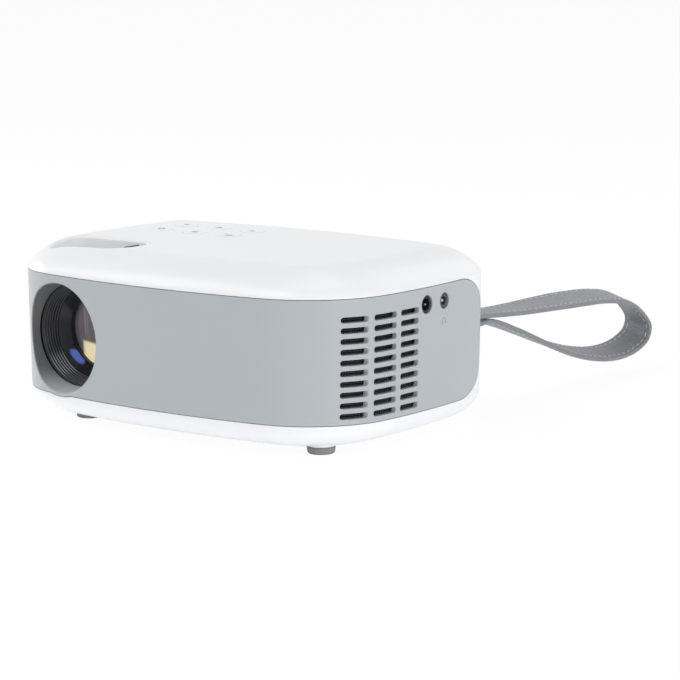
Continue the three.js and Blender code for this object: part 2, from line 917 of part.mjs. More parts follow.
// Drafted plug from the scoop's lowest edge to past the top of the case
function scoopPlug(grow) {
  const rimZ = caseHeight;
  const lowZ = lensZ + scoopFloorRadius / 2;
  const rim = scoopOutline(grow);
  const slope = scoopDraft / (rimZ - lensZ - scoopFloorRadius);
  const levels = [
    { z: lowZ, grow: grow - slope * (rimZ - lowZ) },
    { z: rimZ + cutOverrun, grow: grow + slope * cutOverrun },
  ];
  const middle = { x: lensX, y: (scoopFrontY + scoopRearY) / 2 };
  const points = THREE.ShapeUtils.area(rim) < 0 ? rim.reverse() : rim;
  const clean = points.filter((p, i) => p.distanceTo(points[(i + 1) % points.length]) > leastEdge);
  const count = clean.length;
  const positions = [];
  for (const level of levels) {
    for (const p of clean) {
      const shareX = (scoopHalfLength + level.grow) / (scoopHalfLength + grow);
      const halfSpan = (scoopRearY - scoopFrontY) / 2;
      const shareY = (halfSpan + level.grow) / (halfSpan + grow);
      positions.push(middle.x + (p.x - middle.x) * shareX, middle.y + (p.y - middle.y) * shareY, level.z);
    }
  }
  positions.push(middle.x, middle.y, levels[0].z, middle.x, middle.y, levels[1].z);
  const triangles = [];
  for (let i = 0; i < count; i += 1) {
    const j = (i + 1) % count;
    triangles.push(i, j, count + j, i, count + j, count + i);
    triangles.push(2 * count, j, i, 2 * count + 1, count + i, count + j);
  }
  const geometry = new THREE.BufferGeometry();
  geometry.setAttribute('position', new THREE.Float32BufferAttribute(positions, 3));
  geometry.setIndex(triangles);
  return toSolid(geometry);
}

function leverFloor(radius) {
  return rod('y', radius, -bodyReach, bodyReach, lensCentre, scoopFloorSides);
}

// Sector about the lens axis that the lever stem sweeps
function leverSweepTool(length, inner, outer, spareAngle) {
  const shape = new THREE.Shape();
  const reach = THREE.MathUtils.degToRad(leverSweep + spareAngle);
  const steps = slitSteps;
  for (let i = 0; i <= steps; i += 1) {
    const angle = Math.PI / 2 - reach + (2 * reach * i) / steps;
    shape.lineTo(outer * Math.cos(angle), outer * Math.sin(angle));
  }
  for (let i = steps; i >= 0; i -= 1) {
    const angle = Math.PI / 2 - reach + (2 * reach * i) / steps;
    shape.lineTo(inner * Math.cos(angle), inner * Math.sin(angle));
  }
  shape.closePath();
  const geometry = new THREE.ExtrudeGeometry(shape, { depth: length, bevelEnabled: false });
  geometry.rotateX(Math.PI / 2);
  geometry.translate(lensX, ringCentreY + length / 2, lensZ);
  return toSolid(geometry);
}

// Case posts and bosses

function topPosts() {
  const solids = screwPlaces.map((place) => {
    const outer = rod('z', postRadius, postSplitZ + fitGap, caseHeight - caseWall / 2, place, postSides);
    const pilotTopZ = postSplitZ + screwEngagement + cutOverrun;
    const pilot = rod('z', shankHoleRadius, postSplitZ, pilotTopZ, place, postSides);
    return outer.subtract(pilot);
  });
  return join(solids);
}

function bottomPosts() {
  return join(screwPlaces.map((place) => rod('z', postRadius, caseWall / 2, postSplitZ, place, postSides)));
}

function bottomPostBores() {
  return screwPlaces.map((place) =>
    join([
      rod('z', counterboreRadius, -cutOverrun, counterboreTopZ, place, postSides),
      rod('z', shankHoleRadius, counterboreTopZ - fitGap, postSplitZ + cutOverrun, place, postSides),
    ]),
  );
}

function boardPostPlaces() {
  const left = boardLeftX + boardPostInset;
  const right = boardRightX - boardPostInset - boardCornerCut;
  const front = boardFrontY + boardPostInset;
  const rear = boardRearY - boardPostInset;
  return [
    { x: left, y: front },
    { x: right, y: front },
    { x: left, y: rear },
    { x: right, y: rear },
  ];
}

function keyPlaces() {
  const places = [];
  for (let row = 0; row < keyRows; row += 1) {
    for (let column = 0; column < keyColumns; column += 1) {
      places.push({ x: keyFirstX + column * keyPitchX, y: keyFirstY + row * keyPitchY });
    }
  }
  return places;
}

function keyPostPlaces() {
  const y = keyFirstY + (keyPitchY * (keyRows - 1)) / 2;
  const half = keyPitchX / 2;
  return [
    { x: keyFirstX + half, y },
    { x: keyFirstX + keyPitchX * (keyColumns - 1) - half, y },
  ];
}

function hangingPost(place, radius, bottomZ, pinRadius, pinBottomZ) {
  return join([
    rod('z', radius, bottomZ, caseHeight - caseWall / 2, place, postSides),
    rod('z', pinRadius, pinBottomZ, bottomZ + cutOverrun, place, postSides),
  ]);
}

const boardTopZ = boardBottomZ + boardThickness;
const keyBoardTopZ = keyBoardBottomZ + keyBoardThickness;
const footPlaces = [
  { name: 'front_left', x: footX.left, y: footY.front },
  { name: 'front_right', x: footX.right, y: footY.front },
  { name: 'rear_left', x: footX.left, y: footY.rear },
  { name: 'rear_right', x: footX.rearRight, y: footY.rear },
];

// Strap pocket, open to the rear, shared by both covers

const pocketX = [strapX - pocketHalfWidth, strapX + pocketHalfWidth];
const pocketZ = [strapPinZ - pocketDrop, strapPinZ + pocketRise];

function pocketWalls() {
  const outer = block(
    [pocketX[0] - pocketWall, pocketX[1] + pocketWall],
    [pocketFrontY - pocketWall, bodyReach],
    [pocketZ[0] - pocketWall, pocketZ[1] + pocketWall],
  );
  return outer.intersect(caseMiddle);
}

function pocketHollow() {
  return block(pocketX, [pocketFrontY, bodyReach], pocketZ);
}

function pinSeat() {
  const reach = pocketHalfWidth + strapPinSeat / 2 + fitGap;
  const place = { y: strapPinY, z: strapPinZ };
  return rod('x', strapPinRadius + fitGap, strapX - reach, strapX + reach, place, postSides);
}

const rearSeamZ = strapPinZ;
const below = (height) => block(everyX, everyY, [-bodyReach, height]);
const above = (height) => block(everyX, everyY, [height, bodyReach]);

// Sockets: openings in the right wall and in the rear wall

function jackHoles() {
  return [
    rod('x', powerJackRadius + fitGap, 0, bodyReach, { y: powerJackY, z: jackZ }, jackSides),
    rod('x', soundJackRadius + fitGap, 0, bodyReach, { y: soundJackY, z: jackZ }, jackSides),
  ];
}

const hdmiZ = boardTopZ + fitGap + hdmiHeight / 2;
const usbZ = boardTopZ + fitGap + usbHeight / 2;
const sensorZ = hdmiZ;

function rearHoles() {
  const opening = (x, z, width, height) =>
    block(
      [x - width / 2 - fitGap, x + width / 2 + fitGap],
      [0, bodyReach],
      [z - height / 2 - fitGap, z + height / 2 + fitGap],
    );
  return [
    opening(hdmiX, hdmiZ, hdmiWidth, hdmiHeight),
    opening(usbX, usbZ, usbWidth, usbHeight),
    opening(sensorX, sensorZ, sensorWidth, sensorHeight),
  ];
}

function grilleSlots() {
  const slots = [];
  for (let i = 0; i < grilleSlotCount; i += 1) {
    const offset = (i - (grilleSlotCount - 1) / 2) * grilleSlotPitch;
    const half = Math.sqrt(speakerConeRadius * speakerConeRadius - offset * offset);
    const x = speakerX + offset;
    slots.push(
      block(
        [x - grilleSlotWidth / 2, x + grilleSlotWidth / 2],
        [halfDepth / 2, bodyReach],
        [speakerZ - half, speakerZ + half],
      ),
    );
  }
  return slots;
}

const speakerSeatY = rearWallY(speakerX + speakerRadius, caseWall + bandTaper) - speakerRingDepth;

function speakerRing() {
  const ring = tube(
    'y',
    speakerRadius - speakerRingWall,
    speakerRadius,
    speakerSeatY,
    halfDepth,
    { x: speakerX, z: speakerZ },
    lensSides,
  );
  return ring.intersect(caseMiddle);
}

// Covers and band

const hoodClearCut = rod(
  'y',
  hoodMouthRadius + hoodWall + fitGap,
  -bodyReach,
  hoodRearY + fitGap,
  lensCentre,
  hoodSides,
);

function makeTopCover() {
  const bowlFloor = leverFloor(scoopFloorRadius - caseWall);
  const scoopBowl = scoopPlug(caseWall).subtract(bowlFloor).intersect(caseMiddle);
  const scoopHollow = scoopPlug(0).subtract(leverFloor(scoopFloorRadius));
  const slit = leverSweepTool(slitLength, leverFootRadius / 2, leverTipRadius * 2, slitSpare);
  const boardPosts = boardPostPlaces().map((place) =>
    hangingPost(place, boardPostRadius, boardTopZ + fitGap, boardPinRadius, boardBottomZ - boardPinSpare),
  );
  const keyPosts = keyPostPlaces().map((place) =>
    hangingPost(place, keyPostRadius, keyBoardTopZ + fitGap, boardPinRadius, keyBoardBottomZ - boardPinSpare),
  );
  const keyHoles = keyPlaces().map((place) =>
    rod('z', keyRadius + runningGap, upperSeamHeight, caseHeight + cutOverrun, place, keySides),
  );
  const walls = join([caseShell, scoopBowl, pocketWalls()]);
  const open = cut(walls, [
    bandZone,
    below(rearSeamZ + seamGap / 2),
    scoopHollow,
    slit,
    pocketHollow(),
    pinSeat(),
    ...rearHoles(),
    ...keyHoles,
  ]);
  const posts = join([topPosts(), ...boardPosts, ...keyPosts]).intersect(caseMiddle);
  return join([open, posts, makeTongues(upperSeamHeight, caseWall, 1)]);
}

function footBosses() {
  return join(
    footPlaces.map((place) => {
      const foot = footRadius + fitGap;
      const profile = [
        [0, -footBossRise],
        [foot, -footBossRise],
        [foot + footBossFlare, 0],
        [foot + footBossFlare, caseWall / 2],
        [0, caseWall / 2],
      ];
      return turned('z', profile, place, footSides);
    }),
  );
}

function footSockets() {
  return footPlaces.map((place) =>
    rod('z', footPlugRadius + fitGap, -footBossRise - cutOverrun, caseWall + cutOverrun, place, postSides),
  );
}

function floorSupports() {
  const left = housingLeftX + housingPostInset;
  const right = housingRightX - housingPostInset;
  const front = housingFrontY + housingPostInset;
  const rear = housingRearY - housingPostInset;
  const solids = [];
  for (const x of [left, right]) {
    for (const y of [front, rear]) {
      solids.push(rod('z', housingPostRadius, caseWall / 2, housingBottomZ - fitGap, { x, y }, postSides));
    }
  }
  for (const share of [-1, 1]) {
    const y = fanY + share * (fanHalf - fanRibWidth);
    solids.push(
      block(
        [fanX + fitGap, fanX + fanDepth - fitGap],
        [y - fanRibWidth / 2, y + fanRibWidth / 2],
        [caseWall / 2, lensZ - fanHalf - fitGap],
      ),
    );
  }
  for (const y of [sinkFrontY + sinkRibWidth, sinkRearY - sinkRibWidth]) {
    const x = sinkStartX + sinkBase;
    solids.push(
      block(
        [x, x + sinkLength / 2],
        [y - sinkRibWidth / 2, y + sinkRibWidth / 2],
        [caseWall / 2, sinkBottomZ - fitGap],
      ),
    );
  }
  return join(solids);
}

const holderStartX = housingRightX + fitGap;
const lampBoardX = holderStartX + holderLength + fitGap;
const sinkStartX = lampBoardX + lampBoardThickness + fitGap;

function makeBottomCover() {
  const nutPlace = { x: nutX, y: nutY };
  const nutBoss = rod('z', nutRadius + nutBossWall, caseWall / 2, nutHeight + caseWall, nutPlace, postSides);
  const nutHole = rod('z', nutRadius + fitGap, -cutOverrun, nutHeight + fitGap, nutPlace, nutSides);
  const open = cut(join([caseShell, pocketWalls(), speakerRing()]), [
    bandZone,
    above(rearSeamZ - seamGap / 2),
    pocketHollow(),
    pinSeat(),
    hoodClearCut,
    ...grilleSlots(),
    ...intakeSlots(),
  ]);
  const supports = join([bottomPosts(), floorSupports(), nutBoss]).intersect(caseMiddle);
  const whole = join([
    open,
    supports,
    footBosses(),
    makeTongues(lowerSeamHeight, caseWall + bandTaper, -1),
  ]);
  return cut(whole, [...bottomPostBores(), ...footSockets(), nutHole]);
}

function makeBand() {
  const hoodTube = turned(
    'y',
    [
      [hoodMouthRadius, -halfDepth],
      [hoodMouthRadius, hoodRearY - (halfDepth + hoodRearY) / 2],
      [hoodThroatRadius, hoodRearY],
      [hoodMouthRadius + hoodWall, hoodRearY],
      [hoodMouthRadius + hoodWall, -halfDepth],
    ],
    lensCentre,
    hoodSides,
  ).intersect(caseOuter);
  const wall = caseShell.intersect(bandEnvelope(-seamGap / 2));
  const mouth = rod('y', hoodMouthRadius, -bodyReach, hoodRearY + cutOverrun, lensCentre, hoodSides);
  return cut(wall, [mouth, ...ventCutters(), ...jackHoles()]).add(hoodTube);
}

// Lens parts

function makeSleeve() {
  const rear = housingFrontY - fitGap;
  const barrel = tube('y', sleeveBore, sleeveRadius, sleeveFrontY, rear, lensCentre, lensSides);
  const flange = block(
    [lensX - flangeHalf, lensX + flangeHalf],
    [rear - flangeThickness, rear],
    [lensZ - flangeHalf, lensZ + flangeHalf],
  );
  const bore = rod('y', sleeveBore, sleeveFrontY - cutOverrun, rear + cutOverrun, lensCentre, lensSides);
  const guideSlot = block(
    [lensX - guideSlotWidth / 2, lensX + guideSlotWidth / 2],
    [sleeveFrontY - cutOverrun, ringCentreY - ringWidth / 2 - fitGap],
    [lensZ - sleeveRadius - cutOverrun, lensZ],
  );
  return cut(join([barrel, flange]), [bore, guideSlot]);
}

function makeFocusRing() {
  const ring = tube(
    'y',
    sleeveRadius + runningGap,
    ringRadius,
    ringCentreY - ringWidth / 2,
    ringCentreY + ringWidth / 2,
    { x: 0, z: 0 },
    lensSides,
  );
  const stem = block(
    [-stemThickness / 2, stemThickness / 2],
    [ringCentreY - stemLength / 2, ringCentreY + stemLength / 2],
    [ringRadius - (ringRadius - sleeveRadius) / 2, leverFootRadius + cutOverrun],
  );
  const blade = new THREE.Shape();
  const half = leverThickness / 2;
  blade.moveTo(-half, leverFootRadius);
  blade.lineTo(half, leverFootRadius);
  blade.lineTo(half - leverTaper, leverTipRadius);
  blade.lineTo(-half + leverTaper, leverTipRadius);
  blade.closePath();
  const bladeGeometry = new THREE.ExtrudeGeometry(blade, { depth: leverLength, bevelEnabled: false });
  bladeGeometry.rotateX(Math.PI / 2);
  bladeGeometry.translate(0, ringCentreY + leverLength / 2, 0);
  return join([ring, stem, toSolid(bladeGeometry)]);
}

const barrelHeadFrontY = hoodRearY + fitGap + barrelTravel;

function makeBarrel() {
  const profile = [];
  let radius = barrelMouthRadius;
  let y = barrelHeadFrontY;
  profile.push([barrelHeadRadius, y]);
  for (let rib = 0; rib < barrelRibCount; rib += 1) {
    profile.push([radius, y]);
    y += barrelRibPitch;
    profile.push([radius, y]);
    radius -= barrelRibStep;
  }
  const frontShoulderY = frontGlassY - retainerThickness - fitGap;
  const middleRearY = middleGlassY + middleGlassEdge + fitGap;
  const rearFrontY = rearGlassY - fitGap;
  profile.push(
    [radius, y],
    [barrelBore, frontShoulderY],
    [barrelBore, frontGlassY + frontGlassEdge + fitGap],
    [middleGlassRadius + fitGap, frontGlassY + frontGlassEdge + fitGap],
    [middleGlassRadius + fitGap, middleRearY],
    [middleGlassRadius - lensBoreShoulder, middleRearY],
    [middleGlassRadius - lensBoreShoulder, rearFrontY],
    [rearGlassRadius + fitGap, rearFrontY],
    [rearGlassRadius + fitGap, barrelRearY],
    [barrelRadius, barrelRearY],
    [barrelRadius, barrelHeadRearY],
    [barrelHeadRadius, barrelHeadRearY],
  );
  const body = turned('y', profile, lensCentre, lensSides);
  const pinY = (sleeveFrontY + ringCentreY - ringWidth / 2) / 2 - barrelTravel / 2;
  const pin = rod(
    'z',
    guidePinRadius,
    lensZ - barrelRadius - guidePinLength,
    lensZ - barrelRadius + fitGap,
    { x: lensX, y: pinY },
    guidePinSides,
  );
  return body.add(pin);
}

// A round lens element: flat or curved faces on a cylindrical edge
function makeElement(axis, radius, start, edge, frontBulge, rearBulge, centre) {
  const steps = lensFaceSteps;
  const profile = [];
  for (let i = 0; i <= steps; i += 1) {
    const r = (radius * i) / steps;
    profile.push([r, start - frontBulge * (1 - (r / radius) ** 2)]);
  }
  for (let i = steps; i >= 0; i -= 1) {
    const r = (radius * i) / steps;
    profile.push([r, start + edge + rearBulge * (1 - (r / radius) ** 2)]);
  }
  return turned(axis, profile, centre, lensSides);
}

function makeRetainer() {
  const start = frontGlassY - fitGap - retainerThickness;
  const radius = barrelBore - fitGap;
  return tube('y', radius - retainerWidth, radius, start, start + retainerThickness, lensCentre, lensSides);
}

// Optics housing

const plateThicknesses = [fresnelThickness, panelThickness, fresnelThickness];
const plateStarts = plateThicknesses.map((_, i) => plateFirstY + i * platePitch);

function makeHousing() {
  const outer = block(
    [housingLeftX, housingRightX],
    [housingFrontY, housingRearY],
    [housingBottomZ, housingTopZ],
  );
  const inner = block(
    [housingLeftX + housingWall, housingRightX - housingWall],
    [housingFrontY + housingWall, housingRearY - housingWall],
    [housingBottomZ + housingWall, housingTopZ + cutOverrun],
  );
  const lensHole = rod(
    'y',
    sleeveBore,
    housingFrontY - cutOverrun,
    housingFrontY + housingWall + cutOverrun,
    lensCentre,
    lensSides,
  );
  const lampHole = block(
    [housingRightX - housingWall - cutOverrun, housingRightX + cutOverrun],
    [lampY - lampWindow / 2, lampY + lampWindow / 2],
    [lensZ - lampWindow / 2, lensZ + lampWindow / 2],
  );
  const ribs = [];
  for (let i = 0; i < plateStarts.length; i += 1) {
    const ribStart = plateStarts[i] + plateThicknesses[i] + fitGap;
    for (const x of [
      [housingLeftX + housingWall / 2, housingLeftX + housingWall + ribDepth],
      [housingRightX - housingWall - ribDepth, housingRightX - housingWall / 2],
    ]) {
      const z = [housingBottomZ + housingWall / 2, housingTopZ - plateHeadroom];
      ribs.push(block(x, [ribStart, ribStart + housingWall / 2], z));
    }
  }
  return join([cut(outer, [inner, lensHole, lampHole]), ...ribs]);
}

function makePlate(index) {
  const start = plateStarts[index];
  return block(
    [housingLeftX + housingWall + fitGap, housingRightX - housingWall - fitGap],
    [start, start + plateThicknesses[index]],
    [housingBottomZ + housingWall + fitGap, housingTopZ - plateHeadroom],
  );
}

function makeMirror() {
  const insideRear = housingRearY - housingWall - fitGap;
  const insideLeft = housingLeftX + housingWall + fitGap;
  const across = lensX - insideLeft - mirrorThickness;
  const back = insideRear - lampY - mirrorThickness;
  const reach = Math.min(across, back);
  const shape = new THREE.Shape();
  const thick = mirrorThickness * Math.SQRT1_2;
  shape.moveTo(lensX - reach, lampY - reach);
  shape.lineTo(lensX + reach, lampY + reach);
  shape.lineTo(lensX + reach - thick, lampY + reach + thick);
  shape.lineTo(lensX - reach - thick, lampY - reach + thick);
  shape.closePath();
  const geometry = new THREE.ExtrudeGeometry(shape, { depth: mirrorHeight, bevelEnabled: false });
  geometry.translate(0, 0, housingBottomZ + housingWall + fitGap);
  return toSolid(geometry);
}

function makeLid() {
  const low = housingTopZ + fitGap;
  return block([housingLeftX, housingRightX], [housingFrontY, housingRearY], [low, low + lidThickness]);
}

// Lamp parts

const lampCentre = { y: lampY, z: lensZ };

function makeHolder() {
  const outer = block(
    [holderStartX, holderStartX + holderLength],
    [lampY - holderHalf, lampY + holderHalf],
    [lensZ - holderHalf, lensZ + holderHalf],
  );
  const bore = turned(
    'x',
    [
      [0, holderStartX - cutOverrun],
      [condenserRadius - condenserShoulder, holderStartX - cutOverrun],
      [condenserRadius - condenserShoulder, holderStartX + condenserShoulder],
      [condenserRadius + fitGap, holderStartX + condenserShoulder],
      [condenserRadius + fitGap, holderStartX + holderLength + cutOverrun],
      [0, holderStartX + holderLength + cutOverrun],
    ],
    lampCentre,
    lensSides,
  );
  return outer.subtract(bore);
}

function makeCondenser() {
  const start = holderStartX + condenserShoulder + fitGap;
  return makeElement('x', condenserRadius, start, condenserEdge, 0, condenserBulge, lampCentre);
}

function makeLampBoard() {
  const plate = block(
    [lampBoardX, lampBoardX + lampBoardThickness],
    [lampY - lampBoardHalf, lampY + lampBoardHalf],
    [lensZ - lampBoardHalf, lensZ + lampBoardHalf],
  );
  const die = block(
    [lampBoardX - lampDieHeight, lampBoardX + lampBoardThickness / 2],
    [lampY - lampDieHalf, lampY + lampDieHalf],
    [lensZ - lampDieHalf, lensZ + lampDieHalf],
  );
  return join([plate, die]);
}

function makeHeatSink() {
  const shape = new THREE.Shape();
  const pitch = (sinkRearY - sinkFrontY - finThickness) / (finCount - 1);
  const tip = sinkStartX + sinkLength;
  shape.moveTo(sinkStartX, sinkFrontY);
  for (let fin = 0; fin < finCount; fin += 1) {
    const y = sinkFrontY + fin * pitch;
    if (fin > 0) {
      shape.lineTo(sinkStartX + sinkBase, y);
    }
    shape.lineTo(tip, y);
    shape.lineTo(tip, y + finThickness);
    if (fin < finCount - 1) {
      shape.lineTo(sinkStartX + sinkBase, y + finThickness);
    }
  }
  shape.lineTo(sinkStartX, sinkRearY);
  shape.closePath();
  const geometry = new THREE.ExtrudeGeometry(shape, { depth: sinkTopZ - sinkBottomZ, bevelEnabled: false });
  geometry.translate(0, 0, sinkBottomZ);
  return toSolid(geometry);
}

// Fan

const fanCentre = { y: fanY, z: lensZ };
const fanPlateX = fanX + fanDepth - fanPlate;

function makeFanFrame() {
  const outer = block(
    [fanX, fanX + fanDepth],
    [fanY - fanHalf, fanY + fanHalf],
    [lensZ - fanHalf, lensZ + fanHalf],
  );
  const bore = rod('x', fanBore, fanX - cutOverrun, fanX + fanDepth + cutOverrun, fanCentre, lensSides);
  const struts = [];
  for (let i = 0; i < fanStrutCount; i += 1) {
    const spoke = new THREE.BoxGeometry(fanPlate, fanBore - fanHubRadius + 2 * fanStrutWidth, fanStrutWidth);
    spoke.translate(0, (fanBore + fanHubRadius) / 2, 0);
    spoke.rotateX(Math.PI / 4 + (2 * Math.PI * i) / fanStrutCount);
    spoke.translate(fanPlateX + fanPlate / 2, fanY, lensZ);
    struts.push(toSolid(spoke));
  }
  const hub = tube(
    'x',
    fanShaftRadius + runningGap,
    fanHubRadius,
    fanPlateX,
    fanX + fanDepth,
    fanCentre,
    lensSides / 2,
  );
  return join([outer.subtract(bore), hub, ...struts]);
}

// One blade: a strip from the hub to the tip, pitched and swept by a steady twist
function bladeGeometry() {
  const positions = [];
  const sections = fanBladeSteps + 1;
  const halfAxial = fanRotorLength / 2 - fanBladeThickness;
  const bladeRoot = fanHubRadius - fanBladeThickness;
  for (let i = 0; i < sections; i += 1) {
    const share = i / fanBladeSteps;
    const radius = bladeRoot + (fanBladeRadius - bladeRoot) * share;
    const lean = THREE.MathUtils.degToRad(fanBladeTwist) * (1 - share / 2);
    for (const [axial, side] of [[-1, -1], [1, -1], [1, 1], [-1, 1]]) {
      const angle = (axial * lean) / 2 + (side * fanBladeThickness) / 2 / radius + share / 3;
      positions.push(axial * halfAxial, radius * Math.cos(angle), radius * Math.sin(angle));
    }
  }
  const triangles = [0, 2, 1, 0, 3, 2];
  for (let i = 0; i < fanBladeSteps; i += 1) {
    for (let k = 0; k < 4; k += 1) {
      const a = i * 4 + k;
      const b = i * 4 + ((k + 1) % 4);
      triangles.push(a, b, b + 4, a, b + 4, a + 4);
    }
  }
  const last = fanBladeSteps * 4;
  triangles.push(last, last + 1, last + 2, last, last + 2, last + 3);
  const geometry = new THREE.BufferGeometry();
  geometry.setAttribute('position', new THREE.Float32BufferAttribute(positions, 3));
  geometry.setIndex(triangles);
  return geometry;
}

function makeFanRotor() {
  const half = fanRotorLength / 2;
  const hub = rod('x', fanHubRadius, -half, half, { y: 0, z: 0 }, lensSides / 2);
  const shaft = rod('x', fanShaftRadius, 0, half + fanPlate, { y: 0, z: 0 }, postSides);
  const solids = [hub, shaft];
  for (let i = 0; i < fanBladeCount; i += 1) {
    const blade = bladeGeometry();
    blade.rotateX((2 * Math.PI * i) / fanBladeCount);
    solids.push(toSolid(blade));
  }
  return join(solids);
}

// Boards, sockets, speaker and sensor window

function makeMainBoard() {
  const shape = new THREE.Shape();
  shape.moveTo(boardLeftX, boardFrontY);
  shape.lineTo(boardRightX, boardFrontY);
  shape.lineTo(boardRightX, boardRearY - boardCornerCut * 2);
  shape.lineTo(boardRightX - boardCornerCut * 2, boardRearY);
  shape.lineTo(boardLeftX, boardRearY);
  shape.closePath();
  const geometry = new THREE.ExtrudeGeometry(shape, { depth: boardThickness, bevelEnabled: false });
  geometry.translate(0, 0, boardBottomZ);
  const chipCentre = { x: (boardLeftX + boardRightX) / 2, y: (boardFrontY + boardRearY) / 2 };
  const chip = block(
    [chipCentre.x - chipSize / 2, chipCentre.x + chipSize / 2],
    [chipCentre.y - chipSize / 2, chipCentre.y + chipSize / 2],
    [boardBottomZ + boardThickness / 2, boardTopZ + chipHeight],
  );
  const holes = boardPostPlaces().map((place) =>
    rod('z', boardPinRadius + fitGap, boardBottomZ - cutOverrun, boardTopZ + cutOverrun, place, postSides),
  );
  const postHoles = screwPlaces.map((place) =>
    rod('z', postRadius + fitGap, boardBottomZ - cutOverrun, boardTopZ + chipHeight, place, postSides),
  );
  return cut(join([toSolid(geometry), chip]), [...holes, ...postHoles]);
}

function makeKeyBoard() {
  const plate = block(
    [keyFirstX - keyBoardMargin, keyFirstX + keyPitchX * (keyColumns - 1) + keyBoardMargin],
    [keyFirstY - keyBoardMargin, keyFirstY + keyPitchY * (keyRows - 1) + keyBoardMargin],
    [keyBoardBottomZ, keyBoardTopZ],
  );
  const switches = keyPlaces().map(({ x, y }) =>
    block(
      [x - switchSize / 2, x + switchSize / 2],
      [y - switchSize / 2, y + switchSize / 2],
      [keyBoardBottomZ + keyBoardThickness / 2, keyBoardTopZ + switchHeight],
    ),
  );
  const holeZ = [keyBoardBottomZ - cutOverrun, keyBoardTopZ + cutOverrun];
  const holes = keyPostPlaces().map((place) =>
    rod('z', boardPinRadius + fitGap, ...holeZ, place, postSides),
  );
  return cut(join([plate, ...switches]), holes);
}

function makeKey() {
  const top = caseHeight + keyProud;
  const ceiling = caseHeight - caseWall - fitGap;
  const stemBottom = keyBoardTopZ + switchHeight + keyTravel + fitGap;
  const profile = [
    [0, stemBottom],
    [keyStemRadius, stemBottom],
    [keyStemRadius, ceiling - keyFlangeHeight],
    [keyRadius + keyFlange, ceiling - keyFlangeHeight],
    [keyRadius + keyFlange, ceiling],
    [keyRadius, ceiling],
    [keyRadius, top - keyCrown / 2],
    [keyRadius - keyCrown, top],
    [0, top],
  ];
  return turned('z', profile, { x: 0, y: 0 }, keySides);
}

function makeJack(y, radius, bore, pinRadius) {
  const faceX = wallX(y, 0) - jackLip;
  const shoulderX = wallX(y, caseWall + bandTaper) - fitGap;
  const centre = { y, z: jackZ };
  const body = block(
    [shoulderX - jackBodyLength, shoulderX],
    [y - jackBodyWidth / 2, y + jackBodyWidth / 2],
    [jackZ - jackBodyDrop, jackZ + jackBodyRise],
  );
  const nose = rod('x', radius, shoulderX - cutOverrun, faceX, centre, jackSides);
  const hole = rod('x', bore, faceX - jackBoreDepth, faceX + cutOverrun, centre, postSides);
  const shell = join([body, nose]).subtract(hole);
  if (pinRadius === 0) {
    return shell;
  }
  const pin = rod('x', pinRadius, faceX - jackBoreDepth - cutOverrun, faceX - cutOverrun, centre, postSides);
  return shell.add(pin);
}

function makeSocket(x, z, width, height) {
  const faceY = rearWallY(x, 0) - jackLip;
  const spanX = [x - width / 2, x + width / 2];
  const body = block(spanX, [faceY - socketDepth, faceY], [z - height / 2, z + height / 2]);
  const hollow = block(
    [spanX[0] + socketShell, spanX[1] - socketShell],
    [faceY - socketDepth + socketShell, faceY + cutOverrun],
    [z - height / 2 + socketShell, z + height / 2 - socketShell],
  );
  const tongue = block(
    [spanX[0] + 2 * socketTongue, spanX[1] - 2 * socketTongue],
    [faceY - socketDepth + socketShell / 2, faceY - socketTongue],
    [z - socketTongue / 2, z + socketTongue / 2],
  );
  return join([body.subtract(hollow), tongue]);
}

function makeSensorWindow() {
  const half = sensorWidth / 2;
  const inner = rearWallY(Math.abs(sensorX) + half + sensorFlange, caseWall) - fitGap;
  const plug = block(
    [sensorX - half, sensorX + half],
    [inner - sensorThickness, rearWallY(sensorX, 0)],
    [sensorZ - sensorHeight / 2, sensorZ + sensorHeight / 2],
  );
  const flange = block(
    [sensorX - half - sensorFlange, sensorX + half + sensorFlange],
    [inner - sensorThickness, inner],
    [sensorZ - sensorHeight / 2 - sensorFlange, sensorZ + sensorHeight / 2 + sensorFlange],
  );
  return join([plug, flange]);
}

function makeSpeaker() {
  const front = speakerSeatY - fitGap;
  const rear = front - speakerDepth;
  const profile = [
    [0, front - speakerConeDepth],
    [speakerConeRadius, front],
    [speakerRadius, front],
    [speakerRadius, front - speakerFlange],
    [speakerMagnetRadius, rear + speakerMagnetDepth],
    [speakerMagnetRadius, rear],
    [0, rear],
  ];
  return turned('y', profile, { x: speakerX, z: speakerZ }, lensSides);
}

// Feet, screws, tripod nut

function makeFoot() {
  const seat = -footBossRise - fitGap;
  const profile = [
    [0, -footHeight],
    [footRadius - footTaper, -footHeight],
    [footRadius, seat],
    [footPlugRadius, seat],
    [footPlugRadius, seat + footPlugLength],
    [0, seat + footPlugLength],
  ];
  return turned('z', profile, { x: 0, y: 0 }, footSides);
}

function makeScrew() {
  const headTop = counterboreTopZ - fitGap;
  const profile = [
    [0, headTop - screwHeadHeight],
    [screwHeadRadius, headTop - screwHeadHeight],
    [screwHeadRadius, headTop],
    [screwShankRadius, headTop],
    [screwShankRadius, postSplitZ + screwEngagement],
    [0, postSplitZ + screwEngagement],
  ];
  const body = turned('z', profile, { x: 0, y: 0 }, postSides);
  const slot = (width, length) =>
    block(
      [-length, length],
      [-width, width],
      [headTop - screwHeadHeight - cutOverrun, headTop - screwHeadHeight + recessDepth],
    );
  const narrow = recessRadius * recessWidthShare;
  return cut(body, [slot(narrow, recessRadius), slot(recessRadius, narrow)]);
}

function makeTripodNut() {
  const outer = rod('z', nutRadius, fitGap, nutHeight, { x: nutX, y: nutY }, nutSides);
  const bore = rod('z', nutBore, -cutOverrun, nutHeight - nutBossWall, { x: nutX, y: nutY }, postSides);
  return outer.subtract(bore);
}

// Strap: one ply round the pin, out along the top, round the end and back along the bottom

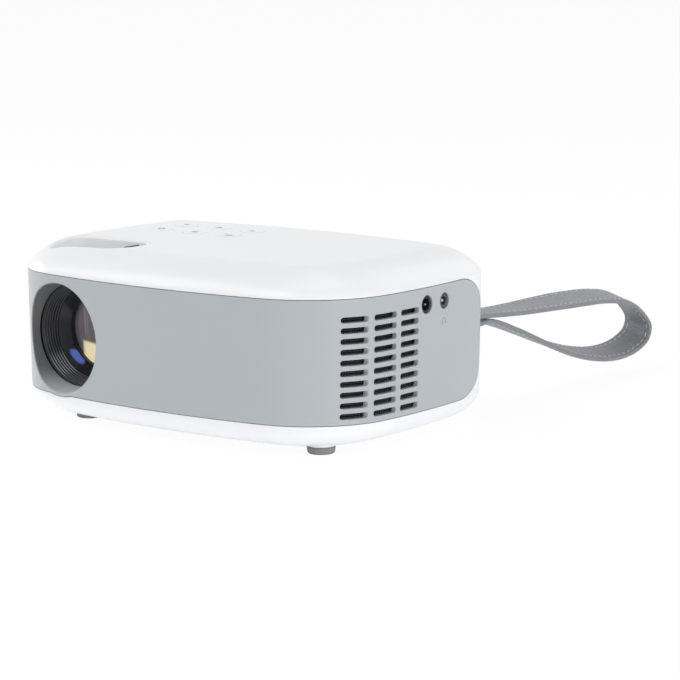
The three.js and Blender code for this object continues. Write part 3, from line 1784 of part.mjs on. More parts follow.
function strapPath() {
  const wrap = strapPinRadius + fitGap + strapThickness / 2;
  const meetOffset = strapThickness / 2 + strapPlyGap / 2;
  const points = [];
  for (let i = 0; i <= strapLoopSteps; i += 1) {
    const angle = -Math.PI * 0.5 - (Math.PI * i) / strapLoopSteps;
    points.push([strapPinY + wrap * Math.cos(angle), strapPinZ + wrap * Math.sin(angle)]);
  }
  points.push([strapJoinY, strapPinZ + meetOffset]);
  for (const list of [strapUpperShares, strapEndShares, strapLowerShares]) {
    for (const { out, down } of list) {
      points.push([strapPinY + strapReach * out, strapPinZ - strapDrop * down]);
    }
  }
  points.push([strapJoinY, strapPinZ - meetOffset]);
  return new THREE.CatmullRomCurve3(points.map(([y, z]) => new THREE.Vector3(0, y, z)), true, 'centripetal');
}

function makeStrap() {
  const path = strapPath();
  const strapSteps = path.points.length * strapStepsPerPoint;
  const positions = [];
  for (let i = 0; i < strapSteps; i += 1) {
    const share = i / strapSteps;
    const centre = path.getPoint(share);
    const tangent = path.getTangent(share);
    const turn = THREE.MathUtils.clamp((centre.y - strapJoinY) / strapTwistLength, 0, 1);
    const lean = THREE.MathUtils.degToRad(strapTwist) * turn;
    const width = new THREE.Vector3(Math.cos(lean), 0, -Math.sin(lean));
    const normal = new THREE.Vector3().crossVectors(width, tangent).normalize();
    const offset = new THREE.Vector3(strapX, centre.y, centre.z);
    for (const [side, face] of [[-1, -1], [1, -1], [1, 1], [-1, 1]]) {
      const corner = offset.clone();
      corner.addScaledVector(width, (side * strapWidth) / 2);
      corner.addScaledVector(normal, (face * strapThickness) / 2);
      positions.push(corner.x, corner.y, corner.z);
    }
  }
  const triangles = [];
  for (let i = 0; i < strapSteps; i += 1) {
    const next = (i + 1) % strapSteps;
    for (let k = 0; k < 4; k += 1) {
      const a = i * 4 + k;
      const b = i * 4 + ((k + 1) % 4);
      const c = next * 4 + ((k + 1) % 4);
      const d = next * 4 + k;
      triangles.push(a, b, c, a, c, d);
    }
  }
  const geometry = new THREE.BufferGeometry();
  geometry.setAttribute('position', new THREE.Float32BufferAttribute(positions, 3));
  geometry.setIndex(triangles);
  return toSolid(geometry);
}

function makeStrapPin() {
  const reach = pocketHalfWidth + strapPinSeat / 2;
  return rod('x', strapPinRadius, strapX - reach, strapX + reach, { y: strapPinY, z: strapPinZ }, postSides);
}

// Assembly

const projector = new THREE.Group();
projector.name = 'video_projector';

function addPart(name, solid, finishName, parent = projector) {
  const [color, roughness, metalness] = finishes[finishName];
  const material = new THREE.MeshStandardMaterial({ color, roughness, metalness });
  const mesh = new THREE.Mesh(toGeometry(solid), material);
  mesh.name = name;
  parent.add(mesh);
  return mesh;
}

addPart('top_cover', makeTopCover(), 'whiteShell');
addPart('bottom_cover', makeBottomCover(), 'whiteShell');
addPart('side_band', makeBand(), 'greyBand');
addPart('vent_mesh', makeVentMesh(), 'meshGrey');
addPart('intake_mesh', makeIntakeMesh(), 'meshGrey');

addPart('lens_sleeve', makeSleeve(), 'blackPlastic');
const focusRing = addPart('focus_ring', makeFocusRing(), 'darkGrey');
focusRing.position.set(lensX, 0, lensZ);
focusRing.rotation.y = THREE.MathUtils.degToRad(leverRestAngle);
addPart('lens_barrel', makeBarrel(), 'blackPlastic');
addPart('lens_retainer', makeRetainer(), 'blackPlastic');
addPart(
  'front_lens',
  makeElement('y', frontGlassRadius, frontGlassY, frontGlassEdge, frontGlassBulge, 0, lensCentre),
  'glass',
);
const middleDish = -middleGlassDish / 2;
addPart(
  'middle_lens',
  makeElement('y', middleGlassRadius, middleGlassY, middleGlassEdge, middleDish, middleDish, lensCentre),
  'glass',
);
addPart(
  'rear_lens',
  makeElement('y', rearGlassRadius, rearGlassY, rearGlassEdge, 0, rearGlassBulge, lensCentre),
  'glass',
);

addPart('optics_housing', makeHousing(), 'blackPlastic');
addPart('optics_lid', makeLid(), 'blackPlastic');
addPart('front_fresnel', makePlate(0), 'clear');
addPart('display_panel', makePlate(1), 'darkGrey');
addPart('rear_fresnel', makePlate(2), 'clear');
addPart('fold_mirror', makeMirror(), 'mirror');
addPart('condenser_holder', makeHolder(), 'blackPlastic');
addPart('condenser_lens', makeCondenser(), 'glass');
addPart('lamp_board', makeLampBoard(), 'aluminium');
addPart('heat_sink', makeHeatSink(), 'aluminium');

addPart('fan_frame', makeFanFrame(), 'blackPlastic');
const fanRotor = addPart('fan_rotor', makeFanRotor(), 'blackPlastic');
fanRotor.position.set(fanPlateX - fitGap - fanRotorLength / 2, fanY, lensZ);

addPart('main_board', makeMainBoard(), 'boardGreen');
addPart('power_jack', makeJack(powerJackY, powerJackRadius, powerJackBore, powerPinRadius), 'blackPlastic');
addPart('sound_jack', makeJack(soundJackY, soundJackRadius, soundJackBore, 0), 'darkGrey');
addPart('hdmi_socket', makeSocket(hdmiX, hdmiZ, hdmiWidth, hdmiHeight), 'steel');
addPart('usb_socket', makeSocket(usbX, usbZ, usbWidth, usbHeight), 'steel');
addPart('sensor_window', makeSensorWindow(), 'blackPlastic');
addPart('speaker', makeSpeaker(), 'blackPlastic');

const keyNames = ['power_key', 'menu_key', 'play_key', 'left_key', 'back_key', 'right_key'];
addPart('key_board', makeKeyBoard(), 'boardGreen');
keyPlaces().forEach(({ x, y }, i) => {
  addPart(keyNames[i], makeKey(), 'whiteShell').position.set(x, y, 0);
});

for (const place of footPlaces) {
  addPart(`${place.name}_foot`, makeFoot(), 'rubberGrey').position.set(place.x, place.y, 0);
}
for (const place of screwPlaces) {
  addPart(`${place.name}_screw`, makeScrew(), 'steel').position.set(place.x, place.y, 0);
}
addPart('tripod_nut', makeTripodNut(), 'brass');
addPart('strap_pin', makeStrapPin(), 'steel');
addPart('carry_strap', makeStrap(), 'strapGrey');

export default projector;
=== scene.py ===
"""Looks of a compact video projector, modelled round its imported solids.

Lengths in this file are millimetres in the frame of the solids: +Z is up, the lens looks along -Y.
"""

import json
import logging
import math
from collections.abc import Callable, Sequence
from dataclasses import dataclass
from enum import Enum

import bpy
import numpy as np
from mathutils import Matrix, Vector

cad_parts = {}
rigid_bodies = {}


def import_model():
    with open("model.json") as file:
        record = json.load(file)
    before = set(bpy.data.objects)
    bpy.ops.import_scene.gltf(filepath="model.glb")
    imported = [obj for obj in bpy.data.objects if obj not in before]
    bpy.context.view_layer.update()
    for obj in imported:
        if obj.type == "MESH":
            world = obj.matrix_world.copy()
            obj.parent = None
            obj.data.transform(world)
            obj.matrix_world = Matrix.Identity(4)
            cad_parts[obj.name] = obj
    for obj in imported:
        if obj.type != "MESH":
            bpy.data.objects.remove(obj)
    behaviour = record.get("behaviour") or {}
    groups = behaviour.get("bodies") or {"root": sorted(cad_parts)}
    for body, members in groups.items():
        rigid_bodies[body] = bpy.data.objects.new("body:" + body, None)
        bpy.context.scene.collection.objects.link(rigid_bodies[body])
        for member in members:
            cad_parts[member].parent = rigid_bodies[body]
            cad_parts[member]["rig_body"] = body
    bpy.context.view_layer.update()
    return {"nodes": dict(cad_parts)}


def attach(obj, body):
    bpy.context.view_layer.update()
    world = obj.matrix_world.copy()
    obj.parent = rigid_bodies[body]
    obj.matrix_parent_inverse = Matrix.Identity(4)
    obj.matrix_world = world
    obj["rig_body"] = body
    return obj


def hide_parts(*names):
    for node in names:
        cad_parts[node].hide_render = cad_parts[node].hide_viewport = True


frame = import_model()

# Metres in a millimetre.
MM = 0.001
# How far a cutter reaches past the surface that it cuts.
OVERRUN = 1.5
# Gap between two skins that would otherwise lie in each other.
HAIR = 0.02
# What a round end is short of a full half circle, so that no edge has zero length.
SLIVER = 0.01
# Smallest length that is divided by.
TINY = 1e-9
# How far past its ends, in radians, an arc still counts.
ANGLE_SLACK = 1e-6
WHITE = (1.0, 1.0, 1.0, 1.0)
log = logging.getLogger("projector")

Pair = tuple[float, float]
Triple = tuple[float, float, float]
Piece = bpy.types.Object
Tree = bpy.types.NodeTree
Socket = bpy.types.NodeSocket
Array = np.ndarray


class Body(str, Enum):
    """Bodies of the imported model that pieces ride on."""

    CASE = "case"
    RING = "focus_ring"
    BARREL = "lens_barrel"
    FAN = "fan_rotor"
    STRAP = "carry_strap"


class Slot(str, Enum):
    """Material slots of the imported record."""

    SHELL = "white_shell"
    BAND = "grey_band"
    BLACK = "black_plastic"
    DARK = "dark_plastic"
    MESH = "mesh"
    GLASS = "glass"
    CLEAR = "clear_plastic"
    MIRROR = "mirror"
    BOARD = "board"
    STEEL = "steel"
    ALUMINIUM = "aluminium"
    BRASS = "brass"
    RUBBER = "foot_rubber"
    STRAP = "strap"


class Axis(int, Enum):
    """Axis of a turned piece or a drilled hole."""

    X = 0
    Y = 1
    Z = 2


class Face(Enum):
    """Sides of the case that holes are cut into, each as its axis and its direction along it."""

    RIGHT = (Axis.X, 1)
    FRONT = (Axis.Y, -1)
    REAR = (Axis.Y, 1)
    TOP = (Axis.Z, 1)
    UNDER = (Axis.Z, -1)


class Join(str, Enum):
    """How one solid is combined with another."""

    CUT = "DIFFERENCE"
    ADD = "UNION"
    KEEP = "INTERSECT"


# Nodes and materials


def add_node(tree: Tree, kind: str, inputs: dict | None = None, **settings: object) -> bpy.types.Node:
    """Adds a node with its settings and links.

    Args:
        tree: The shader or geometry tree.
        kind: The node's type name.
        inputs: Socket names or numbers with a value, or with the output socket that feeds them.
        settings: Properties of the node.

    Returns:
        The new node.
    """
    node = tree.nodes.new(kind)
    for key, value in settings.items():
        setattr(node, key, value)
    for key, value in (inputs or {}).items():
        if isinstance(value, bpy.types.NodeSocket):
            tree.links.new(value, node.inputs[key])
        else:
            node.inputs[key].default_value = value
    return node


def cleared_tree(owner: bpy.types.Material | bpy.types.World) -> Tree:
    """Empty node tree of a material or of the world."""
    owner.use_nodes = True
    owner.node_tree.nodes.clear()
    return owner.node_tree


def linear(hex_colour: str) -> tuple[float, float, float, float]:
    """Turns an sRGB hex colour into linear red, green, blue and full alpha."""
    values = [int(hex_colour[i : i + 2], 16) / 255 for i in (0, 2, 4)]
    lit = [v / 12.92 if v <= 0.04045 else ((v + 0.055) / 1.055) ** 2.4 for v in values]
    return (*lit, 1.0)


@dataclass(frozen=True)
class Finish:
    """A surface of one material with fine grain, slight cloudiness and a few constants.

    Attributes:
        title: What the real material is.
        colour: Main colour, sRGB hex.
        shade: Colour that the cloudy variation leans to, sRGB hex.
        roughness: Middle roughness.
        spread: How far the roughness varies round its middle.
        grain_mm: Size of one grain of the surface texture.
        grain_depth_mm: Height of the grain.
        cloud_mm: Size of the slow variation in colour.
        metallic: 1 for a metal.
        ior: Index of refraction of a dielectric.
        coat: Weight of a clear coat.
        sheen: Weight of a soft sheen.
        stretch: Scale of the grain along X, Y and Z.
        grain_detail: How many finer layers the grain has.
        grain_gain: Strength of each finer layer against the one before.
        cloud_detail: How many finer layers the variation in colour has.
    """

    title: str
    colour: str
    shade: str
    roughness: float
    spread: float = 0.04
    grain_mm: float = 0.5
    grain_depth_mm: float = 0.01
    cloud_mm: float = 40.0
    metallic: float = 0.0
    ior: float = 1.5
    coat: float = 0.0
    sheen: float = 0.0
    stretch: Triple = (1.0, 1.0, 1.0)
    grain_detail: float = 3.0
    grain_gain: float = 0.6
    cloud_detail: float = 2.0

    def grain(self, tree: Tree, place: Socket) -> Socket:
        """Adds the surface texture."""
        scale = {"Vector": place, "Scale": 1 / (self.grain_mm * MM)}
        layers = {"Detail": self.grain_detail, "Roughness": self.grain_gain}
        return add_node(tree, "ShaderNodeTexNoise", scale | layers).outputs["Fac"]

    def extra(self, tree: Tree, shader: bpy.types.Node, place: Socket) -> None:
        """Adds what a special finish has; a plain one has nothing more."""

    def make(self) -> bpy.types.Material:
        """Builds the material once.

        Returns:
            The material, also when it is asked for again.
        """
        known = bpy.data.materials.get(self.title)
        if known is not None:
            return known
        material = bpy.data.materials.new(self.title)
        tree = cleared_tree(material)
        own = add_node(tree, "ShaderNodeTexCoord").outputs["Object"]
        place = add_node(tree, "ShaderNodeMapping", {"Vector": own, "Scale": self.stretch}).outputs["Vector"]
        slow = {"Vector": place, "Scale": 1 / (self.cloud_mm * MM), "Detail": self.cloud_detail}
        cloud = add_node(tree, "ShaderNodeTexNoise", slow)
        colours = {0: cloud.outputs["Fac"], 6: linear(self.colour), 7: linear(self.shade)}
        tint = add_node(tree, "ShaderNodeMix", colours, data_type="RGBA")
        grain = self.grain(tree, place)
        limits = {"To Min": self.roughness - self.spread, "To Max": self.roughness + self.spread}
        rough = add_node(tree, "ShaderNodeMapRange", {"Value": grain, **limits})
        height = {"Height": grain, "Strength": 1.0, "Distance": self.grain_depth_mm * MM}
        bump = add_node(tree, "ShaderNodeBump", height)
        surface = {
            "Base Color": tint.outputs[2],
            "Roughness": rough.outputs["Result"],
            "Normal": bump.outputs["Normal"],
            "Metallic": self.metallic,
            "Coat Weight": self.coat,
            "Sheen Weight": self.sheen,
        }
        shader = add_node(tree, "ShaderNodeBsdfPrincipled", surface)
        if self.metallic == 0:
            shader.inputs["IOR"].default_value = self.ior
        self.extra(tree, shader, place)
        add_node(tree, "ShaderNodeOutputMaterial", {"Surface": shader.outputs["BSDF"]})
        material.diffuse_color = linear(self.colour)
        return material


@dataclass(frozen=True)
class LeatherFinish(Finish):
    """Pebbled synthetic leather: small cells with painted shade in the creases between them."""

    # Colour of the painted shade in the creases.
    crease: str = "6F7276"
    crease_reach: float = 0.25
    disorder: float = 0.9

    def grain(self, tree: Tree, place: Socket) -> Socket:
        """Height of the pebbles, from 0 in a crease to 1."""
        pebbles = {"Vector": place, "Scale": 1 / (self.grain_mm * MM), "Randomness": self.disorder}
        cells = add_node(tree, "ShaderNodeTexVoronoi", pebbles, feature="DISTANCE_TO_EDGE")
        rise = {"Value": cells.outputs["Distance"], "From Max": self.crease_reach}
        return add_node(tree, "ShaderNodeMapRange", rise).outputs["Result"]

    def extra(self, tree: Tree, shader: bpy.types.Node, place: Socket) -> None:
        """Paints shade into the creases between the pebbles."""
        colour = shader.inputs["Base Color"].links[0].from_socket
        height = shader.inputs["Normal"].links[0].from_node.inputs["Height"].links[0].from_socket
        mix = add_node(tree, "ShaderNodeMix", {0: height, 6: linear(self.crease), 7: colour}, data_type="RGBA")
        tree.links.new(mix.outputs[2], shader.inputs["Base Color"])


@dataclass(frozen=True)
class GlassFinish(Finish):
    """Clear material that lets light through, with a thin coating that tints its reflections."""

    film_nm: float = 0.0
    film_ior: float = 1.38

    def extra(self, tree: Tree, shader: bpy.types.Node, place: Socket) -> None:
        """Lets light through and adds the film."""
        shader.inputs["Transmission Weight"].default_value = 1.0
        shader.inputs["Thin Film Thickness"].default_value = self.film_nm
        shader.inputs["Thin Film IOR"].default_value = self.film_ior


@dataclass(frozen=True)
class PaintedGlint:
    """A painted reflection: a soft-edged patch of colour, given off as emission, that stands in for the
    surroundings seen in a polished surface.

    Attributes:
        centre: Its middle in millimetres.
        half: Half sizes along its own X, Y and Z in millimetres.
        lean: Turn about Y in degrees.
        colour: sRGB hex.
        soft: Share of the half sizes over which the edge fades.
        oval: Whether it is oval, or else square-cornered.
    """

    centre: Triple
    half: Triple
    lean: float
    colour: str
    soft: float = 0.12
    oval: bool = False

    def mask(self, tree: Tree, place: Socket) -> Socket:
        """Adds the shape of the patch.

        Args:
            tree: Tree of the material.
            place: Place on the piece.

        Returns:
            1 inside the patch, 0 outside.
        """
        stand = {
            "Vector": place,
            "Location": [v * MM for v in self.centre],
            "Rotation": (0.0, math.radians(self.lean), 0.0),
            "Scale": [v * MM for v in self.half],
        }
        own = add_node(tree, "ShaderNodeMapping", stand, vector_type="TEXTURE").outputs[0]
        if self.oval:
            reach = add_node(tree, "ShaderNodeVectorMath", {0: own}, operation="LENGTH").outputs["Value"]
        else:
            positive = add_node(tree, "ShaderNodeVectorMath", {0: own}, operation="ABSOLUTE")
            parts = add_node(tree, "ShaderNodeSeparateXYZ", {0: positive.outputs[0]})
            widest = {0: parts.outputs[0], 1: parts.outputs[2]}
            reach = add_node(tree, "ShaderNodeMath", widest, operation="MAXIMUM").outputs[0]
        fade = {"Value": reach, "From Min": 1 + self.soft, "From Max": 1 - self.soft}
        return add_node(tree, "ShaderNodeMapRange", fade, interpolation_type="SMOOTHSTEP").outputs["Result"]


@dataclass(frozen=True)
class PaintedGlintFinish(Finish):
    """Coated or polished surface with painted reflections: emission patches that stand in for its
    surroundings.
    """

    clear: float = 0.0
    painted_glints: tuple[PaintedGlint, ...] = ()

    def extra(self, tree: Tree, shader: bpy.types.Node, place: Socket) -> None:
        """Lets some light through and adds the painted reflections as emission."""
        shader.inputs["Transmission Weight"].default_value = self.clear
        # The painted reflections are mixed in turn and given off as emission.
        shown = None
        for painted_glint in self.painted_glints:
            colours = {0: painted_glint.mask(tree, place), 6: shown or linear("000000"), 7: linear(painted_glint.colour)}
            shown = add_node(tree, "ShaderNodeMix", colours, data_type="RGBA").outputs[2]
        if shown:
            tree.links.new(shown, shader.inputs["Emission Color"])
            shader.inputs["Emission Strength"].default_value = 1.0


@dataclass(frozen=True)
class LampFinish(Finish):
    """Plastic with a small light behind it that glows faintly."""

    glow: str = "8C9CF0"
    strength: float = 0.15

    def extra(self, tree: Tree, shader: bpy.types.Node, place: Socket) -> None:
        """Adds the glow."""
        shader.inputs["Emission Color"].default_value = linear(self.glow)
        shader.inputs["Emission Strength"].default_value = self.strength


# ABS moulded against a fine satin steel: a clean cool white with a soft, wide highlight.
WHITE_ABS = Finish("white_abs_satin_moulded", "F3F4F6", "EFF1F3", 0.3, 0.03, 0.8, 0.004, 60, coat=0.15)
# The same moulding in grey: an even cool grey with a broad, duller sheen.
GREY_ABS = Finish("grey_abs_satin_moulded", "B3B8BC", "AFB5BA", 0.38, 0.04, 0.35, 0.006, 50)
# Fine-moulded polycarbonate: near black, with a faint bloom where light grazes it.
BLACK_PC = Finish("black_polycarbonate_fine_moulded", "232427", "2A2B2F", 0.4, 0.06, 0.3, 0.008, 12)
# Satin polycarbonate of the throat: mid grey, with a painted pale reflection along its lower side.
HOOD = PaintedGlintFinish(
    "dark_grey_polycarbonate_painted_reflection", "747779", "7C7F81", 0.34, 0.04, 0.5, 0.003, 14, coat=0.2,
    painted_glints=(PaintedGlint((-54.0, -64.0, 11.5), (17.0, 14.0, 7.5), 0.0, "7E8486", 0.9, True),),
)
# Turned and black anodised aluminium: dark rings with a painted grey highlight where light would fall along
# them.
TURNED = PaintedGlintFinish(
    "black_anodised_aluminium_painted_highlight", "3A3B3F", "46474B", 0.28, 0.05, 0.2, 0.003, 6, coat=0.7,
    painted_glints=(PaintedGlint((-70.5, -47.0, 21.4), (5.6, 12.0, 4.2), 38.0, "5C5E62", 0.45, True),),
)
# Dark grey moulded ABS: a soft charcoal that shows against the white scoop.
DARK_ABS = Finish("dark_grey_abs_satin_moulded", "3C3E42", "46484C", 0.45, 0.05, 0.4, 0.006, 10)
# Woven nylon: dull charcoal behind the slots. The thread is far finer, so it is drawn as 0.2 mm grain.
SCREEN = Finish("black_nylon_woven_screen", "2B2D30", "3A3D40", 0.6, 0.08, 0.2, 0.01, 4)
# Matt moulded rubber: a warm grey without a highlight.
RUBBER = Finish("grey_rubber_matt_moulded", "8D8B89", "848280", 0.78, 0.08, 0.4, 0.02, 6)
# Twisted polyester: pale, slightly fuzzy stitches.
THREAD = Finish("pale_polyester_twisted_thread", "C9CCCF", "B4B8BC", 0.7, 0.1, 0.25, 0.05, 2, sheen=0.3)
# Polyurethane leather: small pebbles with painted shade in the creases, mid grey and low in gloss.
LEATHER = LeatherFinish("grey_pu_leather_pebbled", "94989D", "888C91", 0.55, 0.08, 0.9, 0.05, 9, sheen=0.15)
# Nickel-plated steel: a bright, slightly cloudy metal.
STEEL = Finish("nickel_plated_steel", "B9BBBE", "A7AAAD", 0.3, 0.06, 0.15, 0.003, 8, metallic=1.0)
# Extruded aluminium: pale metal with fine lines along its length.
ALUMINIUM = Finish(
    "extruded_aluminium", "C3C6C9", "B5B9BC", 0.4, 0.08, 0.1, 0.004, 12, metallic=1.0, stretch=(1.0, 1.0, 0.05)
)
# Turned brass: warm yellow metal.
BRASS = Finish("turned_brass", "C6A560", "B08F4C", 0.33, 0.06, 0.12, 0.004, 6, metallic=1.0)
# Front-silvered glass: a clean mirror.
MIRROR = Finish("front_silvered_mirror", "EEF2F4", "E6EBEE", 0.03, 0.01, 2.0, 0.0005, 20, metallic=1.0)
# Solder resist on a board: glossy dark green with a slight ripple.
BOARD = Finish("green_solder_resist_board", "1E5A3D", "174B32", 0.35, 0.08, 1.2, 0.01, 7)
# Acrylic sheet: clear, with a faint haze.
CLEAR = GlassFinish("clear_acrylic_sheet", "F2F5F6", "E8EDF0", 0.08, 0.02, 1.0, 0.001, 20, ior=1.49)
# Anodised seat of the glass: blue-black, with a painted blue reflection of the coating beside it.
SEAT = PaintedGlintFinish(
    "black_lens_seat_painted_reflection", "2B2C31", "32333A", 0.16, 0.03, 0.6, 0.001, 8, coat=0.8,
    painted_glints=(PaintedGlint((-68.3, -41.0, 23.7), (4.5, 8.0, 1.35), 40.0, "4A5CA2", 0.25, True),),
)
# Coated front glass: a grey-mauve depth, two faint tall painted reflections and a painted cream reflection low
# down.
FRONT_OPTIC = PaintedGlintFinish(
    "front_glass_painted_reflections", "B6B0B5", "ABA5AB", 0.05, 0.01, 4.0, 0.0003, 12, ior=1.7, coat=0.6, clear=0.45,
    painted_glints=(
        PaintedGlint((-65.3, -38.0, 41.7), (0.5, 6.0, 7.5), -6.0, "5C5459", 0.7),
        PaintedGlint((-63.4, -38.0, 38.5), (0.35, 6.0, 6.0), -4.0, "4C454A", 0.7),
        PaintedGlint((-61.2, -38.0, 25.6), (6.0, 6.0, 4.9), 6.0, "BDB38C", 0.14),
    ),
)
# Coated optical glass: clear, with tinted reflections from its thin film.
OPTIC = GlassFinish(
    "coated_optical_glass", "E4E0EE", "DAD6E8", 0.03, 0.005, 4.0, 0.0003, 20, ior=1.52, film_nm=420.0
)
# Pad-printed ink: thin matt grey signs.
MARK = Finish("grey_pad_printed_ink", "B2B5B9", "AAADB2", 0.5, 0.05, 0.3, 0.002, 5)
# The same ink, darker, on the grey wall.
WALL_MARK = Finish("dark_grey_pad_printed_ink", "8A8E92", "82868A", 0.5, 0.05, 0.3, 0.002, 5)
# Clear window lit from behind: a faint blue sign.
LIT_MARK = LampFinish("blue_lit_key_window", "A9B1E6", "9DA6E0", 0.4, 0.04, 0.3, 0.002, 5)
# Infrared window: almost black, glossy, with a trace of red.
WINDOW = Finish("dark_red_infrared_window", "1C0D10", "16090C", 0.12, 0.02, 1.0, 0.001, 5, coat=0.5)
# Pressed paper of the speaker: dull black with a fibrous surface.
CONE = Finish("black_pressed_paper_cone", "232427", "1B1C1F", 0.85, 0.06, 0.6, 0.03, 5)

SOLID_LOOKS: tuple[tuple[Finish, Slot, tuple[str, ...]], ...] = (
    (BLACK_PC, Slot.BLACK, ("lens_sleeve", "optics_housing", "optics_lid", "condenser_holder", "fan_frame")),
    (CLEAR, Slot.CLEAR, ("front_fresnel", "rear_fresnel")),
    (DARK_ABS, Slot.DARK, ("display_panel",)),
    (DARK_ABS, Slot.BLACK, ("fan_rotor",)),
    (MIRROR, Slot.MIRROR, ("fold_mirror",)),
    (OPTIC, Slot.GLASS, ("condenser_lens", "middle_lens", "rear_lens")),
    (ALUMINIUM, Slot.ALUMINIUM, ("lamp_board", "heat_sink")),
    (BOARD, Slot.BOARD, ("main_board", "key_board")),
    (STEEL, Slot.STEEL, ("hdmi_socket", "usb_socket", "strap_pin")),
    (WINDOW, Slot.BLACK, ("sensor_window",)),
    (CONE, Slot.BLACK, ("speaker",)),
    (BRASS, Slot.BRASS, ("tripod_nut",)),
)


# Meshes


def linked(name: str, data: bpy.types.ID) -> Piece:
    """Puts new data into the scene as an object."""
    made = bpy.data.objects.new(name, data)
    bpy.context.scene.collection.objects.link(made)
    return made


def add_mesh(name: str, points: Sequence, edges: Sequence = (), faces: Sequence = ()) -> Piece:
    """Links a new mesh object that stands at the origin.

    Args:
        name: Name of the object.
        points: Corners in millimetres.
        edges: Pairs of corner numbers.
        faces: Corner numbers of each face.

    Returns:
        The object.
    """
    mesh = bpy.data.meshes.new(name)
    mesh.from_pydata((np.asarray(points, float) * MM).tolist(), list(edges), list(faces))
    mesh.update()
    return linked(name, mesh)


def closed_mesh(name: str, points: Array, faces: Sequence[Sequence[int]]) -> Piece:
    """Makes a closed mesh whose faces point outwards.

    Args:
        name: Name of the object.
        points: Corners in millimetres.
        faces: Corner numbers of each face, all turned the same way.

    Returns:
        The object.
    """
    corners = np.asarray(points, float)
    volume = 0.0
    for face in faces:
        a = corners[face[0]]
        for i in range(1, len(face) - 1):
            volume += float(np.dot(a, np.cross(corners[face[i]], corners[face[i + 1]])))
    turned = [tuple(reversed(face)) if volume < 0 else tuple(face) for face in faces]
    return add_mesh(name, corners, faces=turned)


def loft(name: str, rings: Sequence[Array], closed: bool = False) -> Piece:
    """Skins a row of rings with equal counts of points.

    Args:
        name: Name of the object.
        rings: Points of each ring.
        closed: Whether the last ring joins the first; if not, both ends are capped.

    Returns:
        The closed object.
    """
    count = len(rings[0])
    points = np.concatenate([np.asarray(ring, float) for ring in rings])
    faces: list[tuple[int, ...]] = []
    spans = len(rings) if closed else len(rings) - 1
    for r in range(spans):
        low, high = r * count, ((r + 1) % len(rings)) * count
        for i in range(count):
            j = (i + 1) % count
            faces.append((low + i, low + j, high + j, high + i))
    if not closed:
        for ring, backwards in ((0, True), (len(rings) - 1, False)):
            middle = len(points)
            points = np.vstack([points, points[ring * count : (ring + 1) * count].mean(axis=0)])
            for i in range(count):
                pair = (ring * count + i, ring * count + (i + 1) % count)
                faces.append((middle, *(reversed(pair) if backwards else pair)))
    return closed_mesh(name, points, faces)


def revolve(
    name: str, profile: Sequence[Pair], axis: Axis, centre: Triple, segments: int = 72, closed: bool = False
) -> Piece:
    """Turns a profile of (radius, place along the axis) about an axis.

    Args:
        name: Name of the object.
        profile: Points from one end to the other; a zero radius closes the end.
        axis: Axis to turn about.
        centre: Point on the axis.
        segments: Steps round the axis.
        closed: Whether the last point joins the first, as in a tube.

    Returns:
        The turned object.
    """
    across = [i for i in range(3) if i != axis]
    rows: list[list[int]] = []
    points: list[list[float]] = []
    for radius, along in profile:
        ring = []
        for k in range(segments if radius > 0 else 1):
            angle = math.tau * k / segments
            point = list(centre)
            point[axis] += along
            point[across[0]] += radius * math.cos(angle)
            point[across[1]] += radius * math.sin(angle)
            ring.append(len(points))
            points.append(point)
        rows.append(ring)
    faces: list[tuple[int, ...]] = []
    for low, high in zip(rows, rows[1:] + ([rows[0]] if closed else []), strict=False):
        for k in range(segments):
            n = (k + 1) % segments
            face = [low[k % len(low)], low[n % len(low)], high[n % len(high)], high[k % len(high)]]
            kept = [v for i, v in enumerate(face) if v not in face[:i]]
            if len(kept) > 2:
                faces.append(tuple(kept))
    return closed_mesh(name, np.array(points), faces)


def block(x: Pair, y: Pair, z: Pair) -> Piece:
    """A box between low and high places along each axis, for use as a cutter."""
    ring = [(x[0], y[0]), (x[1], y[0]), (x[1], y[1]), (x[0], y[1])]
    return loft("cutter", [np.array([[a, b, level] for a, b in ring]) for level in z])


def prism(outline: Array, axis: Axis, start: float, end: float) -> Piece:
    """Draws a flat outline out along an axis, for use as a cutter."""
    return loft("cutter", [np.insert(outline, int(axis), place, axis=1) for place in (start, end)])


def remove(made: Piece) -> None:
    """Deletes an object and its mesh."""
    data = made.data
    bpy.data.objects.remove(made)
    bpy.data.meshes.remove(data)


def settle(made: Piece) -> Piece:
    """Replaces a mesh by the result of its modifiers.

    Args:
        made: The object.

    Returns:
        The same object.
    """
    graph = bpy.context.evaluated_depsgraph_get()
    result = bpy.data.meshes.new_from_object(made.evaluated_get(graph), depsgraph=graph)
    made.modifiers.clear()
    made.data = result
    return made


def combine(target: Piece, how: Join, *tools: Piece) -> Piece:
    """Combines closed solids one after another and deletes the tools.

    Args:
        target: The solid that is kept.
        how: What is done with each tool.
        tools: The other solids.

    Returns:
        The target.
    """
    for tool in tools:
        modifier = target.modifiers.new("combine", "BOOLEAN")
        modifier.operation = how.value
        modifier.solver = "MANIFOLD"
        modifier.object = tool
        settle(target)
        remove(tool)
    return target


def merged(parts: Sequence[Piece]) -> Piece:
    """Joins meshes that don't touch into one object.

    Args:
        parts: The objects, which are deleted.

    Returns:
        The new object.
    """
    points: list[Array] = []
    faces: list[tuple[int, ...]] = []
    count = 0
    for part in parts:
        own = np.array([v.co for v in part.data.vertices]) / MM
        points.append(own)
        faces.extend(tuple(v + count for v in p.vertices) for p in part.data.polygons)
        count += len(own)
        remove(part)
    return add_mesh("merged", np.concatenate(points), faces=faces)


def smooth(made: Piece, angle: float = 34.0) -> Piece:
    """Shades a mesh smooth, with sharp edges above an angle in degrees."""
    made.data.shade_smooth()
    made.data.set_sharp_from_angle(angle=math.radians(angle))
    return made


